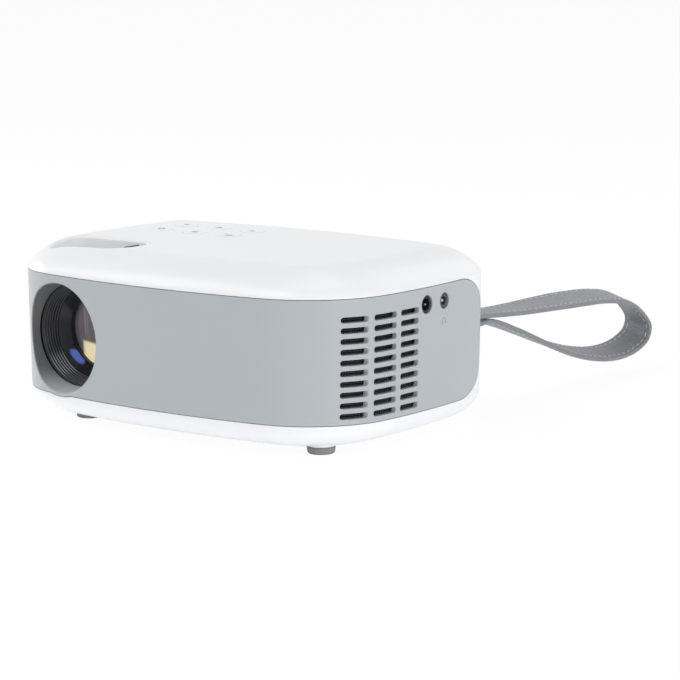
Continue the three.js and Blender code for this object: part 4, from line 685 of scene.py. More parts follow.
def finish_piece(made: Piece, name: str, body: Body | str, look: Finish, slot: Slot, *nodes: str) -> None:
    """Names a piece, gives it its material and body, and lets it stand for its solids.

    Args:
        made: The object.
        name: Name of the piece.
        body: Body that it rides on.
        look: Finish of its surface.
        slot: Slot of the record; not used.
        nodes: Solids that it stands for.
    """
    made.name = name
    made.data.name = name
    if not any(made.data.materials):
        made.data.materials.clear()
        made.data.materials.append(look.make())
    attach(made, body.value if isinstance(body, Body) else body)
    if nodes:
        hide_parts(*nodes)
    log.info("%s: %d faces on %s", name, len(made.data.polygons), made["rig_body"])


def rounded_rectangle(
    centre: Pair, width: float, height: float, radius: float, grow: float = 0.0, steps: int = 5
) -> Array:
    """Outline of a rectangle with round corners.

    Args:
        centre: Its middle.
        width: Its size along the first coordinate.
        height: Its size along the second coordinate.
        radius: Radius of its corners.
        grow: How far it is grown on all sides.
        steps: Steps of each corner.

    Returns:
        Its points, counterclockwise.
    """
    half_w, half_h, r = width / 2 + grow, height / 2 + grow, radius + grow
    points = []
    for quarter, (sx, sy) in enumerate(((1, 1), (-1, 1), (-1, -1), (1, -1))):
        for k in range(steps + 1):
            angle = math.pi / 2 * (quarter + k / steps)
            x = centre[0] + sx * (half_w - r) + r * math.cos(angle)
            points.append([x, centre[1] + sy * (half_h - r) + r * math.sin(angle)])
    return np.array(points)


def circle(centre: Pair, radius: float, segments: int) -> Array:
    """Outline of a circle."""
    angles = np.arange(segments) * math.tau / segments
    return np.stack([centre[0] + radius * np.cos(angles), centre[1] + radius * np.sin(angles)], axis=1)


def arc_stroke(
    centre: Pair,
    radius: float,
    width: float,
    sweep: Pair,
    levels: Pair,
    place: Callable[[Array, float], Array],
    steps: int = 24,
) -> Piece:
    """Thin printed stroke along an arc.

    Args:
        centre: Middle of the arc.
        radius: Radius of the stroke's middle line.
        width: Width of the stroke.
        sweep: Start and end in degrees.
        levels: Low and high level of the ink.
        place: Puts flat points at a level.
        steps: Steps along the arc.

    Returns:
        The closed stroke.
    """
    rings = []
    for angle in np.radians(np.linspace(*sweep, steps + 1)):
        way = np.array([math.cos(angle), math.sin(angle)])
        sides = np.array([np.array(centre) + way * (radius + side * width / 2) for side in (-1, 1)])
        low, high = (place(sides, level) for level in levels)
        rings.append(np.array([low[0], low[1], high[1], high[0]]))
    return loft("stroke", rings)


def refined(outline: Array, longest: float) -> Array:
    """Adds points to an outline where its edges are long.

    Args:
        outline: Its points.
        longest: Longest edge that may stay.

    Returns:
        The outline with more points.
    """
    points = []
    for a, b in zip(outline, np.roll(outline, -1, axis=0), strict=True):
        pieces = max(1, math.ceil(float(np.linalg.norm(b - a)) / longest))
        points.extend(a + (b - a) * k / pieces for k in range(pieces))
    return np.array(points)


def mouth_levels(grow: float, lip: float, steps: int) -> list[Pair]:
    """Steps of a hole's rounded mouth."""
    angles = [math.pi / 2 * k / max(steps, 1) for k in range(steps + 1)]
    levels = [(grow + lip * (1 - math.cos(angle)), lip * (1 - math.sin(angle))) for angle in angles]
    return [*levels, (grow + lip, -OVERRUN)]


# Geometry trees


def grown_tree(name: str, values: dict[str, float]) -> tuple[Tree, dict[str, Socket]]:
    """Starts a geometry tree with named inputs.

    Args:
        name: Name of the tree.
        values: The inputs by name; a whole number makes a whole-number input.

    Returns:
        The tree, and the sockets that carry its inputs by name.
    """
    tree = bpy.data.node_groups.new(name, "GeometryNodeTree")
    face = tree.interface
    face.new_socket("Geometry", in_out="INPUT", socket_type="NodeSocketGeometry")
    for key, value in values.items():
        kind = "NodeSocketInt" if isinstance(value, int) else "NodeSocketFloat"
        face.new_socket(key, in_out="INPUT", socket_type=kind).default_value = value
    face.new_socket("Geometry", in_out="OUTPUT", socket_type="NodeSocketGeometry")
    return tree, {socket.name: socket for socket in add_node(tree, "NodeGroupInput").outputs if socket.name}


def grown_piece(tree: Tree, shape: Socket, look: Finish, values: dict[str, float], base: Piece) -> Piece:
    """Ends a geometry tree, runs it on an object and keeps the result as a plain mesh.

    Args:
        tree: The tree.
        shape: Socket with the finished geometry.
        look: Finish that the tree sets.
        values: Its inputs by name.
        base: Object that carries the tree.

    Returns:
        The same object with its new mesh.
    """
    real = add_node(tree, "GeometryNodeRealizeInstances", {0: shape})
    dressed = add_node(tree, "GeometryNodeSetMaterial", {"Geometry": real.outputs[0], "Material": look.make()})
    add_node(tree, "NodeGroupOutput", {0: dressed.outputs[0]})
    modifier = base.modifiers.new("grow", "NODES")
    modifier.node_group = tree
    known = {item.name: item.identifier for item in tree.interface.items_tree if item.in_out == "INPUT"}
    for key, value in values.items():
        modifier[known[key]] = value
    return settle(base)


def polyline(name: str, rows: Sequence[Array]) -> Piece:
    """Mesh of open lines.

    Args:
        name: Name of the object.
        rows: Points of each line.

    Returns:
        The object.
    """
    edges = []
    start = 0
    for row in rows:
        edges.extend((start + i, start + i + 1) for i in range(len(row) - 1))
        start += len(row)
    return add_mesh(name, np.concatenate(rows), edges)


# Form of the case


@dataclass(frozen=True)
class Arc:
    """One round stretch of the right half of the case outline."""

    x: float
    y: float
    radius: float
    start: float
    end: float
    steps: int


def bow_radius(half: float, sagitta: float) -> float:
    """Radius of an arc from its half chord and its sagitta."""
    return (half**2 + sagitta**2) / (2 * sagitta)


def read_values(
    items: bpy.types.bpy_prop_collection, what: str, width: int = 1, kind: type = float
) -> Array:
    """Reads one property of all items of a mesh."""
    values = np.empty(len(items) * width, kind)
    items.foreach_get(what, values)
    return values.reshape(-1, width) if width > 1 else values


@dataclass(frozen=True)
class CaseForm:
    """Outline, rolls and seams of the case, as in the solids, and the surface that they give."""

    half_width: float = 100.0
    half_depth: float = 70.5
    front_sagitta: float = 12.5
    side_sagitta: float = 8.0
    front_corner: float = 44.4
    rear_corner: float = 23.5
    steps: tuple[int, int, int, int, int] = (20, 18, 18, 14, 14)
    lower_seam: float = 11.2
    upper_seam: float = 65.7
    height: float = 78.0
    top_roll: float = 20.0
    bottom_roll: float = 14.0
    taper: float = 0.9
    wall: float = 2.4
    roll_power: float = 1.5
    roll_steps: int = 12
    band_end: float = 53.0
    band_end_radius: float = 23.0
    band_end_steps: int = 16
    seam_gap: float = 0.3
    reach: float = 160.0
    search: Pair = (20.0, 110.0)
    halvings: int = 40
    skin: float = 0.12
    agreement: float = 0.9

    def corner(self, radius: float) -> Pair:
        """Finds a front corner arc that touches the front arc and the side arc.

        Args:
            radius: Radius of the corner arc.

        Returns:
            Its centre.
        """
        front = bow_radius(self.half_width, self.front_sagitta)
        side = bow_radius(self.half_depth, self.side_sagitta)
        ax, ay = 0.0, front - self.half_depth
        bx, by = self.half_width - side, 0.0
        ra, rb = front - radius, side - radius
        dx, dy = bx - ax, by - ay
        apart = math.hypot(dx, dy)
        share = (ra * ra - rb * rb + apart * apart) / (2 * apart)
        rise = math.sqrt(ra * ra - share * share)
        return ax + (share * dx - rise * dy) / apart, ay + (share * dy + rise * dx) / apart

    def arcs(self) -> list[Arc]:
        """Finds the arcs of the right half, from the front middle to the rear middle.

        Returns:
            The arcs in order.
        """
        front_r = bow_radius(self.half_width, self.front_sagitta)
        side_r = bow_radius(self.half_depth, self.side_sagitta)
        fx, fy = self.corner(self.front_corner)
        rx, mirrored = self.corner(self.rear_corner)
        ry = -mirrored
        front_y, side_x = front_r - self.half_depth, self.half_width - side_r
        front_turn = math.atan2(fy - front_y, fx)
        front_side = math.atan2(fy, fx - side_x)
        rear_side = math.atan2(ry, rx - side_x)
        rear_turn = math.atan2(ry + front_y, rx)
        s = self.steps
        return [
            Arc(0.0, front_y, front_r, -math.pi / 2, front_turn, s[0]),
            Arc(fx, fy, self.front_corner, front_turn, front_side, s[1]),
            Arc(side_x, 0.0, side_r, front_side, rear_side, s[2]),
            Arc(rx, ry, self.rear_corner, rear_side, rear_turn, s[3]),
            Arc(0.0, -front_y, front_r, rear_turn, math.pi / 2, s[4]),
        ]

    def outline(self, inset: float) -> Array:
        """Outline of the case seen from above.

        Args:
            inset: How far it is moved inward.

        Returns:
            Its points, counterclockwise from the front middle.
        """
        half = []
        for arc in self.arcs():
            for i in range(arc.steps):
                angle = arc.start + (arc.end - arc.start) * i / arc.steps
                r = arc.radius - inset
                half.append([arc.x + r * math.cos(angle), arc.y + r * math.sin(angle)])
        mirrored = [[-x, y] for x, y in reversed(half[1:])]
        return np.array([*half, [0.0, self.half_depth - inset], *mirrored])

    def inset_of(self, x: Array, y: Array) -> tuple[Array, Array]:
        """How far inside the outline points lie, and the outward direction there.

        Args:
            x: Places to the right.
            y: Places to the rear.

        Returns:
            The insets, and the directions as rows of two.
        """
        side, across = np.where(x < 0, -1.0, 1.0), np.abs(x)
        best = np.full(np.shape(x), self.reach)
        direction = np.zeros((*np.shape(x), 2))
        for arc in self.arcs():
            dx, dy = across - arc.x, y - arc.y
            distance = np.maximum(np.hypot(dx, dy), TINY)
            angle = np.arctan2(dy, dx)
            inset = arc.radius - distance
            hit = (angle >= arc.start - ANGLE_SLACK) & (angle <= arc.end + ANGLE_SLACK) & (inset < best)
            best = np.where(hit, inset, best)
            for k, part in enumerate((dx * side, dy)):
                direction[..., k] = np.where(hit, part / distance, direction[..., k])
        return best, direction

    def wall_inset(self, z: Array) -> Array:
        """How far the wall stands inside the outline.

        Args:
            z: Heights.

        Returns:
            The inset at each height.
        """
        below = np.clip((self.lower_seam - z) / self.lower_seam, 0, 1)
        above = np.clip((z - self.upper_seam) / (self.height - self.upper_seam), 0, 1)
        share = np.clip((z - self.lower_seam) / (self.upper_seam - self.lower_seam), 0, 1)
        low, high = self.bottom_roll * (1 - self.roll(below)), self.top_roll * (1 - self.roll(above))
        return self.taper * (1 - share) + low + high

    def roll(self, u: Array) -> Array:
        """Share of a roll's height that is left at a share of its width."""
        return (1 - u**self.roll_power) ** (1 / self.roll_power)

    def roll_shares(self, inset: Array) -> tuple[Array, Array]:
        """How far out points lie on the upper and the lower roll, from 0 to 1."""
        return (
            np.clip(1 - inset / self.top_roll, 0, 1),
            np.clip(1 - (inset - self.taper) / self.bottom_roll, 0, 1),
        )

    def top_z(self, x: Array, y: Array) -> Array:
        """Height of the upper surface above a place in plan."""
        u, _ = self.roll_shares(self.inset_of(x, y)[0])
        return self.upper_seam + (self.height - self.upper_seam) * self.roll(u)

    def bottom_z(self, x: Array, y: Array) -> Array:
        """Height of the lower surface below a place in plan."""
        _, u = self.roll_shares(self.inset_of(x, y)[0])
        return self.lower_seam * (1 - self.roll(u))

    def solve(self, fixed: Array, z: Array, axis: Axis, side: int) -> Array:
        """Place of the wall along X or Y, found by halving.

        Args:
            fixed: The other coordinate in plan.
            z: Heights.
            axis: The axis that is looked along.
            side: 1 for the wall on the positive side, else -1.

        Returns:
            The places along that axis.
        """
        target = self.wall_inset(z)
        near, far = (np.full(np.shape(fixed), place) for place in self.search)
        for _ in range(self.halvings):
            middle = (near + far) / 2
            x, y = (side * middle, fixed) if axis is Axis.X else (fixed, side * middle)
            inside = self.inset_of(x, y)[0] > target
            near, far = np.where(inside, middle, near), np.where(inside, far, middle)
        return side * (near + far) / 2

    def place_on(self, face: Face, a: Array, b: Array) -> Array:
        """Where a side of the case lies along its own axis."""
        axis, outward = face.value
        if axis is Axis.Z:
            return self.top_z(a, b) if outward > 0 else self.bottom_z(a, b)
        return self.solve(a, b, axis, outward)

    def hole(
        self,
        outline: Callable[[float], Array],
        face: Face,
        depth: float,
        lip: float,
        steps: int = 3,
        draft: float = 0.0,
    ) -> Piece:
        """A cutter for a hole whose mouth is rounded where it meets the curved case.

        Args:
            outline: Gives the hole's outline for a growth in millimetres.
            face: Side that the hole is cut into.
            depth: How deep the cutter reaches.
            lip: Radius of the rounded mouth.
            steps: Steps of that radius.
            draft: How much narrower the deep end is.

        Returns:
            The closed cutter.
        """
        axis, outward = face.value
        rings = []
        for grow, sink in [(-draft, depth), *mouth_levels(0.0, lip, steps)]:
            flat = outline(grow)
            along = self.place_on(face, flat[:, 0], flat[:, 1]) - outward * sink
            rings.append(np.insert(flat, int(axis), along, axis=1))
        return loft("cutter", rings)

    def bore(self, centre: Pair, radius: float, segments: int, face: Face, depth: float, lip: float) -> Piece:
        """A cutter for a round hole with a rounded mouth."""
        return self.hole(lambda grow: circle(centre, radius + grow, segments), face, depth, lip)

    def slot(
        self,
        centre: Pair,
        size: Pair,
        face: Face,
        depth: float,
        lip: float,
        corner: float = math.inf,
        steps: int = 6,
        longest: float = math.inf,
    ) -> Piece:
        """A cutter for a slot or a window; its ends are round where the corner is too large for it."""
        radius = min(corner, min(size) / 2 - SLIVER)
        return self.hole(
            lambda grow: refined(rounded_rectangle(centre, *size, radius, grow, steps), longest),
            face,
            depth,
            lip,
        )

    def levels(self, wall: float) -> list[Pair]:
        """Profile of the case.

        Args:
            wall: How far it is moved inward.

        Returns:
            Its points as (inset, height), from the bottom up.
        """
        power = 2 / self.roll_power
        rise = self.height - self.upper_seam - wall
        lower, upper = [], []
        for i in range(self.roll_steps + 1):
            angle = math.pi / 2 * i / self.roll_steps
            across, up = max(math.cos(angle), 0.0) ** power, math.sin(angle) ** power
            inset = self.taper + wall + self.bottom_roll * (1 - across)
            lower.append((inset, self.lower_seam - (self.lower_seam - wall) * up))
            upper.append((wall + self.top_roll * (1 - across), self.upper_seam + rise * up))
        return [*reversed(lower), *upper]

    def body(self, wall: float) -> Piece:
        """Closed body of the case, moved inward by a wall."""
        return loft("body", [np.insert(self.outline(inset), 2, z, axis=1) for inset, z in self.levels(wall)])

    def shell(self) -> Piece:
        """Hollow case."""
        return combine(self.body(0), Join.CUT, self.body(self.wall))

    def slab(self, low: float, high: float) -> Piece:
        """Everything between two heights."""
        return block((-self.reach, self.reach), (-self.reach, self.reach), (low, high))

    def envelope(self, grow: float) -> Piece:
        """Side view of the band: straight along the seams, with round rear corners.

        Args:
            grow: How far it is grown on all sides.

        Returns:
            The side view, drawn out over the whole width.
        """
        low, high = self.lower_seam - grow, self.upper_seam + grow
        end, radius = self.band_end + grow, self.band_end_radius + grow
        points = [[-self.reach, low]]
        for base, z in ((-math.pi / 2, low + radius), (0.0, high - radius)):
            for k in range(self.band_end_steps + 1):
                angle = base + math.pi / 2 * k / self.band_end_steps
                points.append([end - radius + radius * math.cos(angle), z + radius * math.sin(angle)])
        points.append([-self.reach, high])
        return prism(np.array(points), Axis.X, -self.reach, self.reach)

    def true_normals(self, points: Array) -> tuple[Array, Array]:
        """Directions of the case surface, worked out from its formula.

        Args:
            points: Points in millimetres.

        Returns:
            The direction at each point, and whether the point lies on the outer surface.
        """
        x, y, z = points.T
        inset, direction = self.inset_of(x, y)
        u_top, u_low = self.roll_shares(inset)
        v_top = np.clip((z - self.upper_seam) / (self.height - self.upper_seam), 0, 1)
        v_low = np.clip((self.lower_seam - z) / self.lower_seam, 0, 1)
        above, below = z > self.upper_seam, z < self.lower_seam
        out = np.where(above, np.sqrt(u_top) / self.top_roll, 1.0)
        up = np.full(len(points), -self.taper / (self.upper_seam - self.lower_seam))
        up = np.where(above, np.sqrt(v_top) / (self.height - self.upper_seam), up)
        out = np.where(below, np.sqrt(u_low) / self.bottom_roll, out)
        up = np.where(below, -np.sqrt(v_low) / self.lower_seam, up)
        true = np.stack([direction[:, 0] * out, direction[:, 1] * out, up], axis=1)
        true /= np.maximum(np.linalg.norm(true, axis=1), TINY)[:, None]
        gaps = (self.top_z(x, y) - z, self.bottom_z(x, y) - z, inset - self.wall_inset(z))
        return true, np.any([np.abs(gap) < self.skin for gap in gaps], axis=0)

    def shade(self, made: Piece) -> Piece:
        """Gives the outer surface its true normals, and everything else smooth or sharp edges by angle.

        Args:
            made: A piece of the case.

        Returns:
            The same piece.
        """
        mesh = smooth(made).data
        mesh.validate()
        true, outer = self.true_normals(read_values(mesh.vertices, "co", 3) / MM)
        corners = read_values(mesh.loops, "vertex_index", 1, np.int32)
        normals = read_values(mesh.corner_normals, "vector", 3)
        sizes = read_values(mesh.polygons, "loop_total", 1, np.int32)
        of_face = np.repeat(read_values(mesh.polygons, "normal", 3), sizes, axis=0)
        aligned = np.einsum("ij,ij->i", of_face, true[corners]) > self.agreement
        chosen = (outer[corners] & aligned)[:, None]
        mesh.normals_split_custom_set(np.where(chosen, true[corners], normals).tolist())
        return made


# Sub-assemblies


@dataclass(frozen=True)
class Jack:
    """A round socket in the right wall.

    Attributes:
        name: Its solid.
        y: Its place along the wall.
        hole: Radius of the hole in the band.
        outer: Radius of its face.
        bore: Radius of its bore.
        look: Finish of its shell.
        slot: Slot of its shell.
        contact: Name of the metal piece in the bore.
        contact_profile: Radius and place of that piece, measured from the face.
    """

    name: str
    y: float
    hole: float
    outer: float
    bore: float
    look: Finish
    slot: Slot
    contact: str
    contact_profile: tuple[Pair, ...]


POWER_PIN = ((0.0, -9.5), (0.6, -9.5), (0.6, -1.0), (0.4, -0.65), (0.0, -0.55))
SOUND_CONTACT = ((0.0, -9.5), (0.85, -9.5), (0.85, -1.0), (0.6, -0.75), (0.0, -0.7))
JACKS = (
    Jack("power_jack", 2.1, 4.05, 3.75, 2.8, BLACK_PC, Slot.BLACK, "power_jack_pin", POWER_PIN),
    Jack("sound_jack", 15.7, 3.6, 3.3, 1.8, DARK_ABS, Slot.DARK, "sound_jack_contact", SOUND_CONTACT),
)


@dataclass
class Housing:
    """White covers and the grey band between them."""

    form: CaseForm
    lens_x: float = -55.5
    lens_z: float = 37.0
    hood_mouth: float = 25.2
    hood_throat: float = 24.2
    hood_wall: float = 1.4
    hood_rear: float = -53.0
    hood_lip: float = 0.35
    hood_lip_depth: float = 1.0
    hood_draft: float = 0.15
    hood_cone_start: float = -62.0
    hood_steps: int = 120
    rim_passes: int = 5
    liner: float = 0.3
    liner_gap: float = 0.1
    liner_rows: int = 6
    fit: float = 0.3
    lip: float = 0.3
    fine_lip: float = 0.25
    wall_depth: float = 8.0
    rear_seam: float = 40.4
    scoop_floor: float = 34.3
    scoop_floor_steps: int = 160
    scoop_half: Pair = (23.7, 12.6)
    scoop_y: float = -37.65
    scoop_corner: float = 8.5
    scoop_edge_steps: int = 12
    scoop_draft: float = 0.01
    scoop_lip: float = 1.7
    scoop_lip_steps: int = 7
    slit: float = 4.8
    slit_angle: float = 29.0
    slit_steps: int = 20
    ring_y: float = -31.6
    key_lip: float = 0.14
    key_depth: float = 6.0
    slot_height: float = 2.5
    slot_pitch: float = 4.63
    slot_rows: int = 10
    slot_z: float = 35.8
    slot_start: float = -47.6
    slot_lengths: Triple = (11.8, 13.7, 12.4)
    slot_gap: float = 2.9
    slot_corner: float = 1.0
    jack_z: float = 58.1
    sound_mark_middle: Pair = (15.3, 49.2)
    sound_mark_radius: float = 1.35
    sound_mark_line: float = 0.32
    sound_mark_sweep: Pair = (-35.0, 215.0)
    ear_pad: tuple[float, float, float, float] = (0.75, 0.7, 1.1, 0.3)
    ink: Pair = (0.02, -0.03)
    strap_x: float = 75.0
    pocket_half: float = 9.6
    pocket_front: float = 48.5
    pocket_z: Pair = (30.4, 50.4)
    pocket_wall: float = 1.8
    pocket_corner: float = 1.2
    pocket_lip: float = 0.5
    pocket_lip_depth: float = 1.0
    sockets: tuple[tuple[float, float, float, float], ...] = (
        (14.0, 57.7, 15.6, 6.6),
        (40.0, 58.2, 15.0, 7.6),
        (-14.0, 57.7, 9.6, 6.6),
    )
    socket_corner: float = 0.8
    feet: tuple[Pair, ...] = ((-63.0, -38.3), (72.5, -38.3), (-63.0, 41.0), (63.0, 41.0))
    foot_radius: float = 6.4
    foot_boss: tuple[Pair, ...] = ((-0.3, -0.7), (0.0, -0.4), (0.4, -0.1), (1.2, 0.02))
    screws: tuple[Pair, ...] = ((-85.5, 28.0), (-8.0, -53.0), (52.0, -51.0), (55.0, 53.5))
    well_radius: float = 3.2
    well_depth: float = 3.2
    intake: tuple[float, float, float, float, int] = (36.7, -16.0, 2.4, 30.0, 8)
    intake_pitch: float = 4.6
    floor_depth: float = 4.0
    nut: Triple = (0.0, -14.0, 5.4)
    speaker: Triple = (20.0, 23.0, 12.4)
    grille: tuple[int, float, float] = (5, 4.2, 1.8)
    grille_depth: float = 6.0

    def zone(self) -> Piece:
        """Space that the band and its seams take out of the covers."""
        inside = self.form.body(self.form.wall + self.form.taper + self.fit)
        return combine(self.form.envelope(self.form.seam_gap / 2), Join.CUT, inside)

    def about_lens(self, profile: Sequence[Pair], steps: int) -> Piece:
        """Turns a profile of (radius, place along Y) about the lens axis."""
        return revolve("cutter", profile, Axis.Y, (self.lens_x, 0.0, self.lens_z), steps)

    def scoop_outline(self, grow: float) -> Array:
        """Rim of the scoop over the focus lever.

        Args:
            grow: How far it is grown on all sides.

        Returns:
            Its points, always as many.
        """
        half_x, half_y = self.scoop_half
        steps = self.scoop_edge_steps
        middle = (self.lens_x, self.scoop_y)
        corners = rounded_rectangle(middle, 2 * half_x, 2 * half_y, self.scoop_corner, grow, steps)
        points = []
        for a, b in zip(corners, np.roll(corners, -1, axis=0), strict=True):
            along, away = np.abs(b - a)
            pieces = steps if along > away and math.hypot(along, away) > self.scoop_corner / 2 else 1
            points.extend(a + (b - a) * k / pieces for k in range(pieces))
        return np.array(points)

    def scoop_plug(self, grow: float, lip: float) -> Piece:
        """Drafted plug of the scoop, with a rounded rim where it meets the case.

        Args:
            grow: How far it is grown on all sides.
            lip: Radius of the rim.

        Returns:
            The closed plug, which ends above the case.
        """
        foot = self.lens_z + self.scoop_floor / 2
        narrow = grow - self.scoop_draft * (self.form.height - foot)
        rings = [np.insert(self.scoop_outline(narrow), 2, foot, axis=1)]
        for size, sink in mouth_levels(grow, lip, self.scoop_lip_steps if lip > 0 else 0):
            flat = self.scoop_outline(size)
            rings.append(np.insert(flat, 2, self.form.top_z(flat[:, 0], flat[:, 1]) - sink, axis=1))
        rings.append(np.insert(self.scoop_outline(grow + lip), 2, self.form.height + 2 * OVERRUN, axis=1))
        return loft("cutter", rings)

    def lever_floor(self, radius: float) -> Piece:
        """Cylinder about the lens axis whose top is the floor of the scoop."""
        far = self.form.reach
        ends = [(0.0, -far), (radius, -far), (radius, far), (0.0, far)]
        return self.about_lens(ends, self.scoop_floor_steps)

    def lever_slit(self) -> Piece:
        """Sector that the lever's stem sweeps.

        Returns:
            The closed cutter.
        """
        ring = []
        angles = np.radians(90 + np.linspace(self.slit_angle, -self.slit_angle, self.slit_steps + 1))
        for radius, way in ((self.scoop_floor * 2, angles), (self.scoop_floor / 2, angles[::-1])):
            for a in way:
                ring.append([self.lens_x + radius * math.cos(a), self.lens_z + radius * math.sin(a)])
        return prism(np.array(ring), Axis.Y, self.ring_y - self.slit / 2, self.ring_y + self.slit / 2)

    def pocket(self) -> tuple[Piece, Piece]:
        """Strap's pocket.

        Returns:
            Its walls and its hollow.
        """
        low, high = self.strap_x - self.pocket_half, self.strap_x + self.pocket_half
        bottom, top = self.pocket_z
        w = self.pocket_wall
        walls = block((low - w, high + w), (self.pocket_front - w, self.form.reach), (bottom - w, top + w))
        combine(walls, Join.KEEP, self.form.body(self.form.wall / 2))
        hollow = self.form.slot(
            (self.strap_x, (bottom + top) / 2),
            (high - low, top - bottom),
            Face.REAR,
            self.pocket_lip_depth,
            self.pocket_lip,
            self.pocket_corner,
            5,
            2.0,
        )
        box = block((low, high), (self.pocket_front, self.form.half_depth + OVERRUN), self.pocket_z)
        return walls, combine(hollow, Join.ADD, box)

    def rear_holes(self) -> list[Piece]:
        """Cutters for the sockets and the sensor window."""
        sizes = (Face.REAR, self.wall_depth, self.lip, self.socket_corner, 4)
        return [self.form.slot((x, z), (width, height), *sizes) for x, z, width, height in self.sockets]

    def top_cover(self, key_places: Sequence[Pair], key_hole: float) -> None:
        """White upper cover with the scoop, the key holes, the socket holes and the strap pocket.

        Args:
            key_places: Middles of the key holes in plan.
            key_hole: Their radius.
        """
        form = self.form
        bowl = self.scoop_plug(form.wall, 0.0)
        combine(bowl, Join.CUT, self.lever_floor(self.scoop_floor - form.wall))
        combine(bowl, Join.KEEP, form.body(form.wall / 2))
        hollow = combine(self.scoop_plug(0.0, self.scoop_lip), Join.CUT, self.lever_floor(self.scoop_floor))
        walls, pocket = self.pocket()
        cover = combine(form.shell(), Join.ADD, bowl, walls)
        below = form.slab(-form.reach, self.rear_seam + form.seam_gap / 2)
        combine(cover, Join.CUT, self.zone(), below, hollow, self.lever_slit(), pocket, *self.rear_holes())
        sizes = (48, Face.TOP, self.key_depth, self.key_lip)
        holes = [form.bore(place, key_hole, *sizes) for place in key_places]
        combine(cover, Join.CUT, merged(holes))
        finish_piece(form.shade(cover), "top_cover_shell", Body.CASE, WHITE_ABS, Slot.SHELL, "top_cover")

    def grille_cutters(self) -> Piece:
        """Slots in front of the speaker.

        Returns:
            The cutters as one object.
        """
        x, z, radius = self.speaker
        count, pitch, width = self.grille
        cutters = []
        for i in range(count):
            offset = (i - (count - 1) / 2) * pitch
            size = (width, 2 * math.sqrt(radius * radius - offset * offset))
            place = (x + offset, z)
            sizes = (Face.REAR, self.grille_depth, self.fine_lip)
            cutters.append(self.form.slot(place, size, *sizes, longest=2.0))
        return merged(cutters)

    def under_cutters(self) -> Piece:
        """Screw wells, intake slots and the hole of the tripod nut.

        Returns:
            The cutters as one object.
        """
        form, deep = self.form, self.floor_depth
        wells = (32, Face.UNDER, self.well_depth, self.lip)
        cutters = [form.bore(place, self.well_radius, *wells) for place in self.screws]
        x, y, width, length, count = self.intake
        for i in range(count):
            place = (x + (i - (count - 1) / 2) * self.intake_pitch, y)
            cutters.append(form.slot(place, (width, length), Face.UNDER, deep, self.fine_lip, longest=3.0))
        nut_x, nut_y, nut_r = self.nut
        cutters.append(form.bore((nut_x, nut_y), nut_r + self.fit, 40, Face.UNDER, deep, self.lip))
        return merged(cutters)

    def bottom_cover(self) -> None:
        """White lower cover with foot bosses, intake slots, screw wells, grille and strap pocket."""
        form = self.form
        walls, pocket = self.pocket()
        cover = combine(form.shell(), Join.ADD, walls)
        above = form.slab(self.rear_seam - form.seam_gap / 2, form.reach)
        radius, end = self.hood_mouth + self.hood_wall + self.fit, self.hood_rear + self.fit
        ends = [(0, -form.reach), (radius, -form.reach), (radius, end), (0, end)]
        clear = self.about_lens(ends, self.hood_steps)
        combine(cover, Join.CUT, self.zone(), above, pocket, clear, self.grille_cutters())
        foot = self.foot_radius + self.fit
        profile = [(0.0, self.foot_boss[0][1]), *((foot + out, z) for out, z in self.foot_boss)]
        profile += [(foot + self.foot_boss[-1][0], form.wall / 2), (0.0, form.wall / 2)]
        for x, y in self.feet:
            combine(cover, Join.ADD, revolve("boss", profile, Axis.Z, (x, y, 0.0), 48))
        combine(cover, Join.CUT, self.under_cutters())
        finish_piece(form.shade(cover), "bottom_cover_shell", Body.CASE, WHITE_ABS, Slot.SHELL, "bottom_cover")

    def slot_places(self) -> list[Triple]:
        """Vent slots.

        Returns:
            Middle along Y, middle along Z and length of each.
        """
        places = []
        start = self.slot_start
        for length in self.slot_lengths:
            for row in range(self.slot_rows):
                z = self.slot_z + (row - (self.slot_rows - 1) / 2) * self.slot_pitch
                places.append((start + length / 2, z, length))
            start += length + self.slot_gap
        return places

    def hood_radius(self, y: Array) -> Array:
        """Inner radius of the hood, which narrows towards the throat."""
        share = np.clip((self.hood_rear - y) / (self.hood_rear - self.hood_cone_start), 0, 1)
        return self.hood_throat + (self.hood_mouth - self.hood_throat) * share

    def mouth_rim(self, grow: float) -> Array:
        """Line where the hood meets the curved front, seen along the lens.

        Args:
            grow: How far it is grown outwards.

        Returns:
            Its points.
        """
        angles = np.arange(self.hood_steps) * math.tau / self.hood_steps
        way = np.stack([np.cos(angles), np.sin(angles)], axis=1)
        middle = np.array([self.lens_x, self.lens_z])
        radius = np.full(self.hood_steps, self.hood_mouth)
        for _ in range(self.rim_passes):
            radius = self.hood_radius(self.form.place_on(Face.FRONT, *(middle + radius[:, None] * way).T))
        return middle + (radius + grow)[:, None] * way

    def hood_liner(self) -> None:
        """Thin sleeve inside the hood, in a darker grey than the band."""
        rim = self.mouth_rim(0.0)
        start = self.form.place_on(Face.FRONT, *rim.T) + self.hood_lip + self.liner_gap
        rings = []
        for point, front in zip(rim, start, strict=True):
            way = point - np.array([self.lens_x, self.lens_z])
            way /= np.linalg.norm(way)
            along = np.linspace(front, self.hood_rear - self.liner_gap, self.liner_rows)
            section = [(y, float(self.hood_radius(y)) - HAIR) for y in along]
            section += [(y, float(self.hood_radius(y)) - self.liner) for y in reversed(along)]
            across, up = way
            rings.append(np.array([[self.lens_x + r * across, y, self.lens_z + r * up] for y, r in section]))
        finish_piece(smooth(loft("liner", rings, closed=True)), "lens_hood_liner", Body.CASE, HOOD, Slot.DARK)

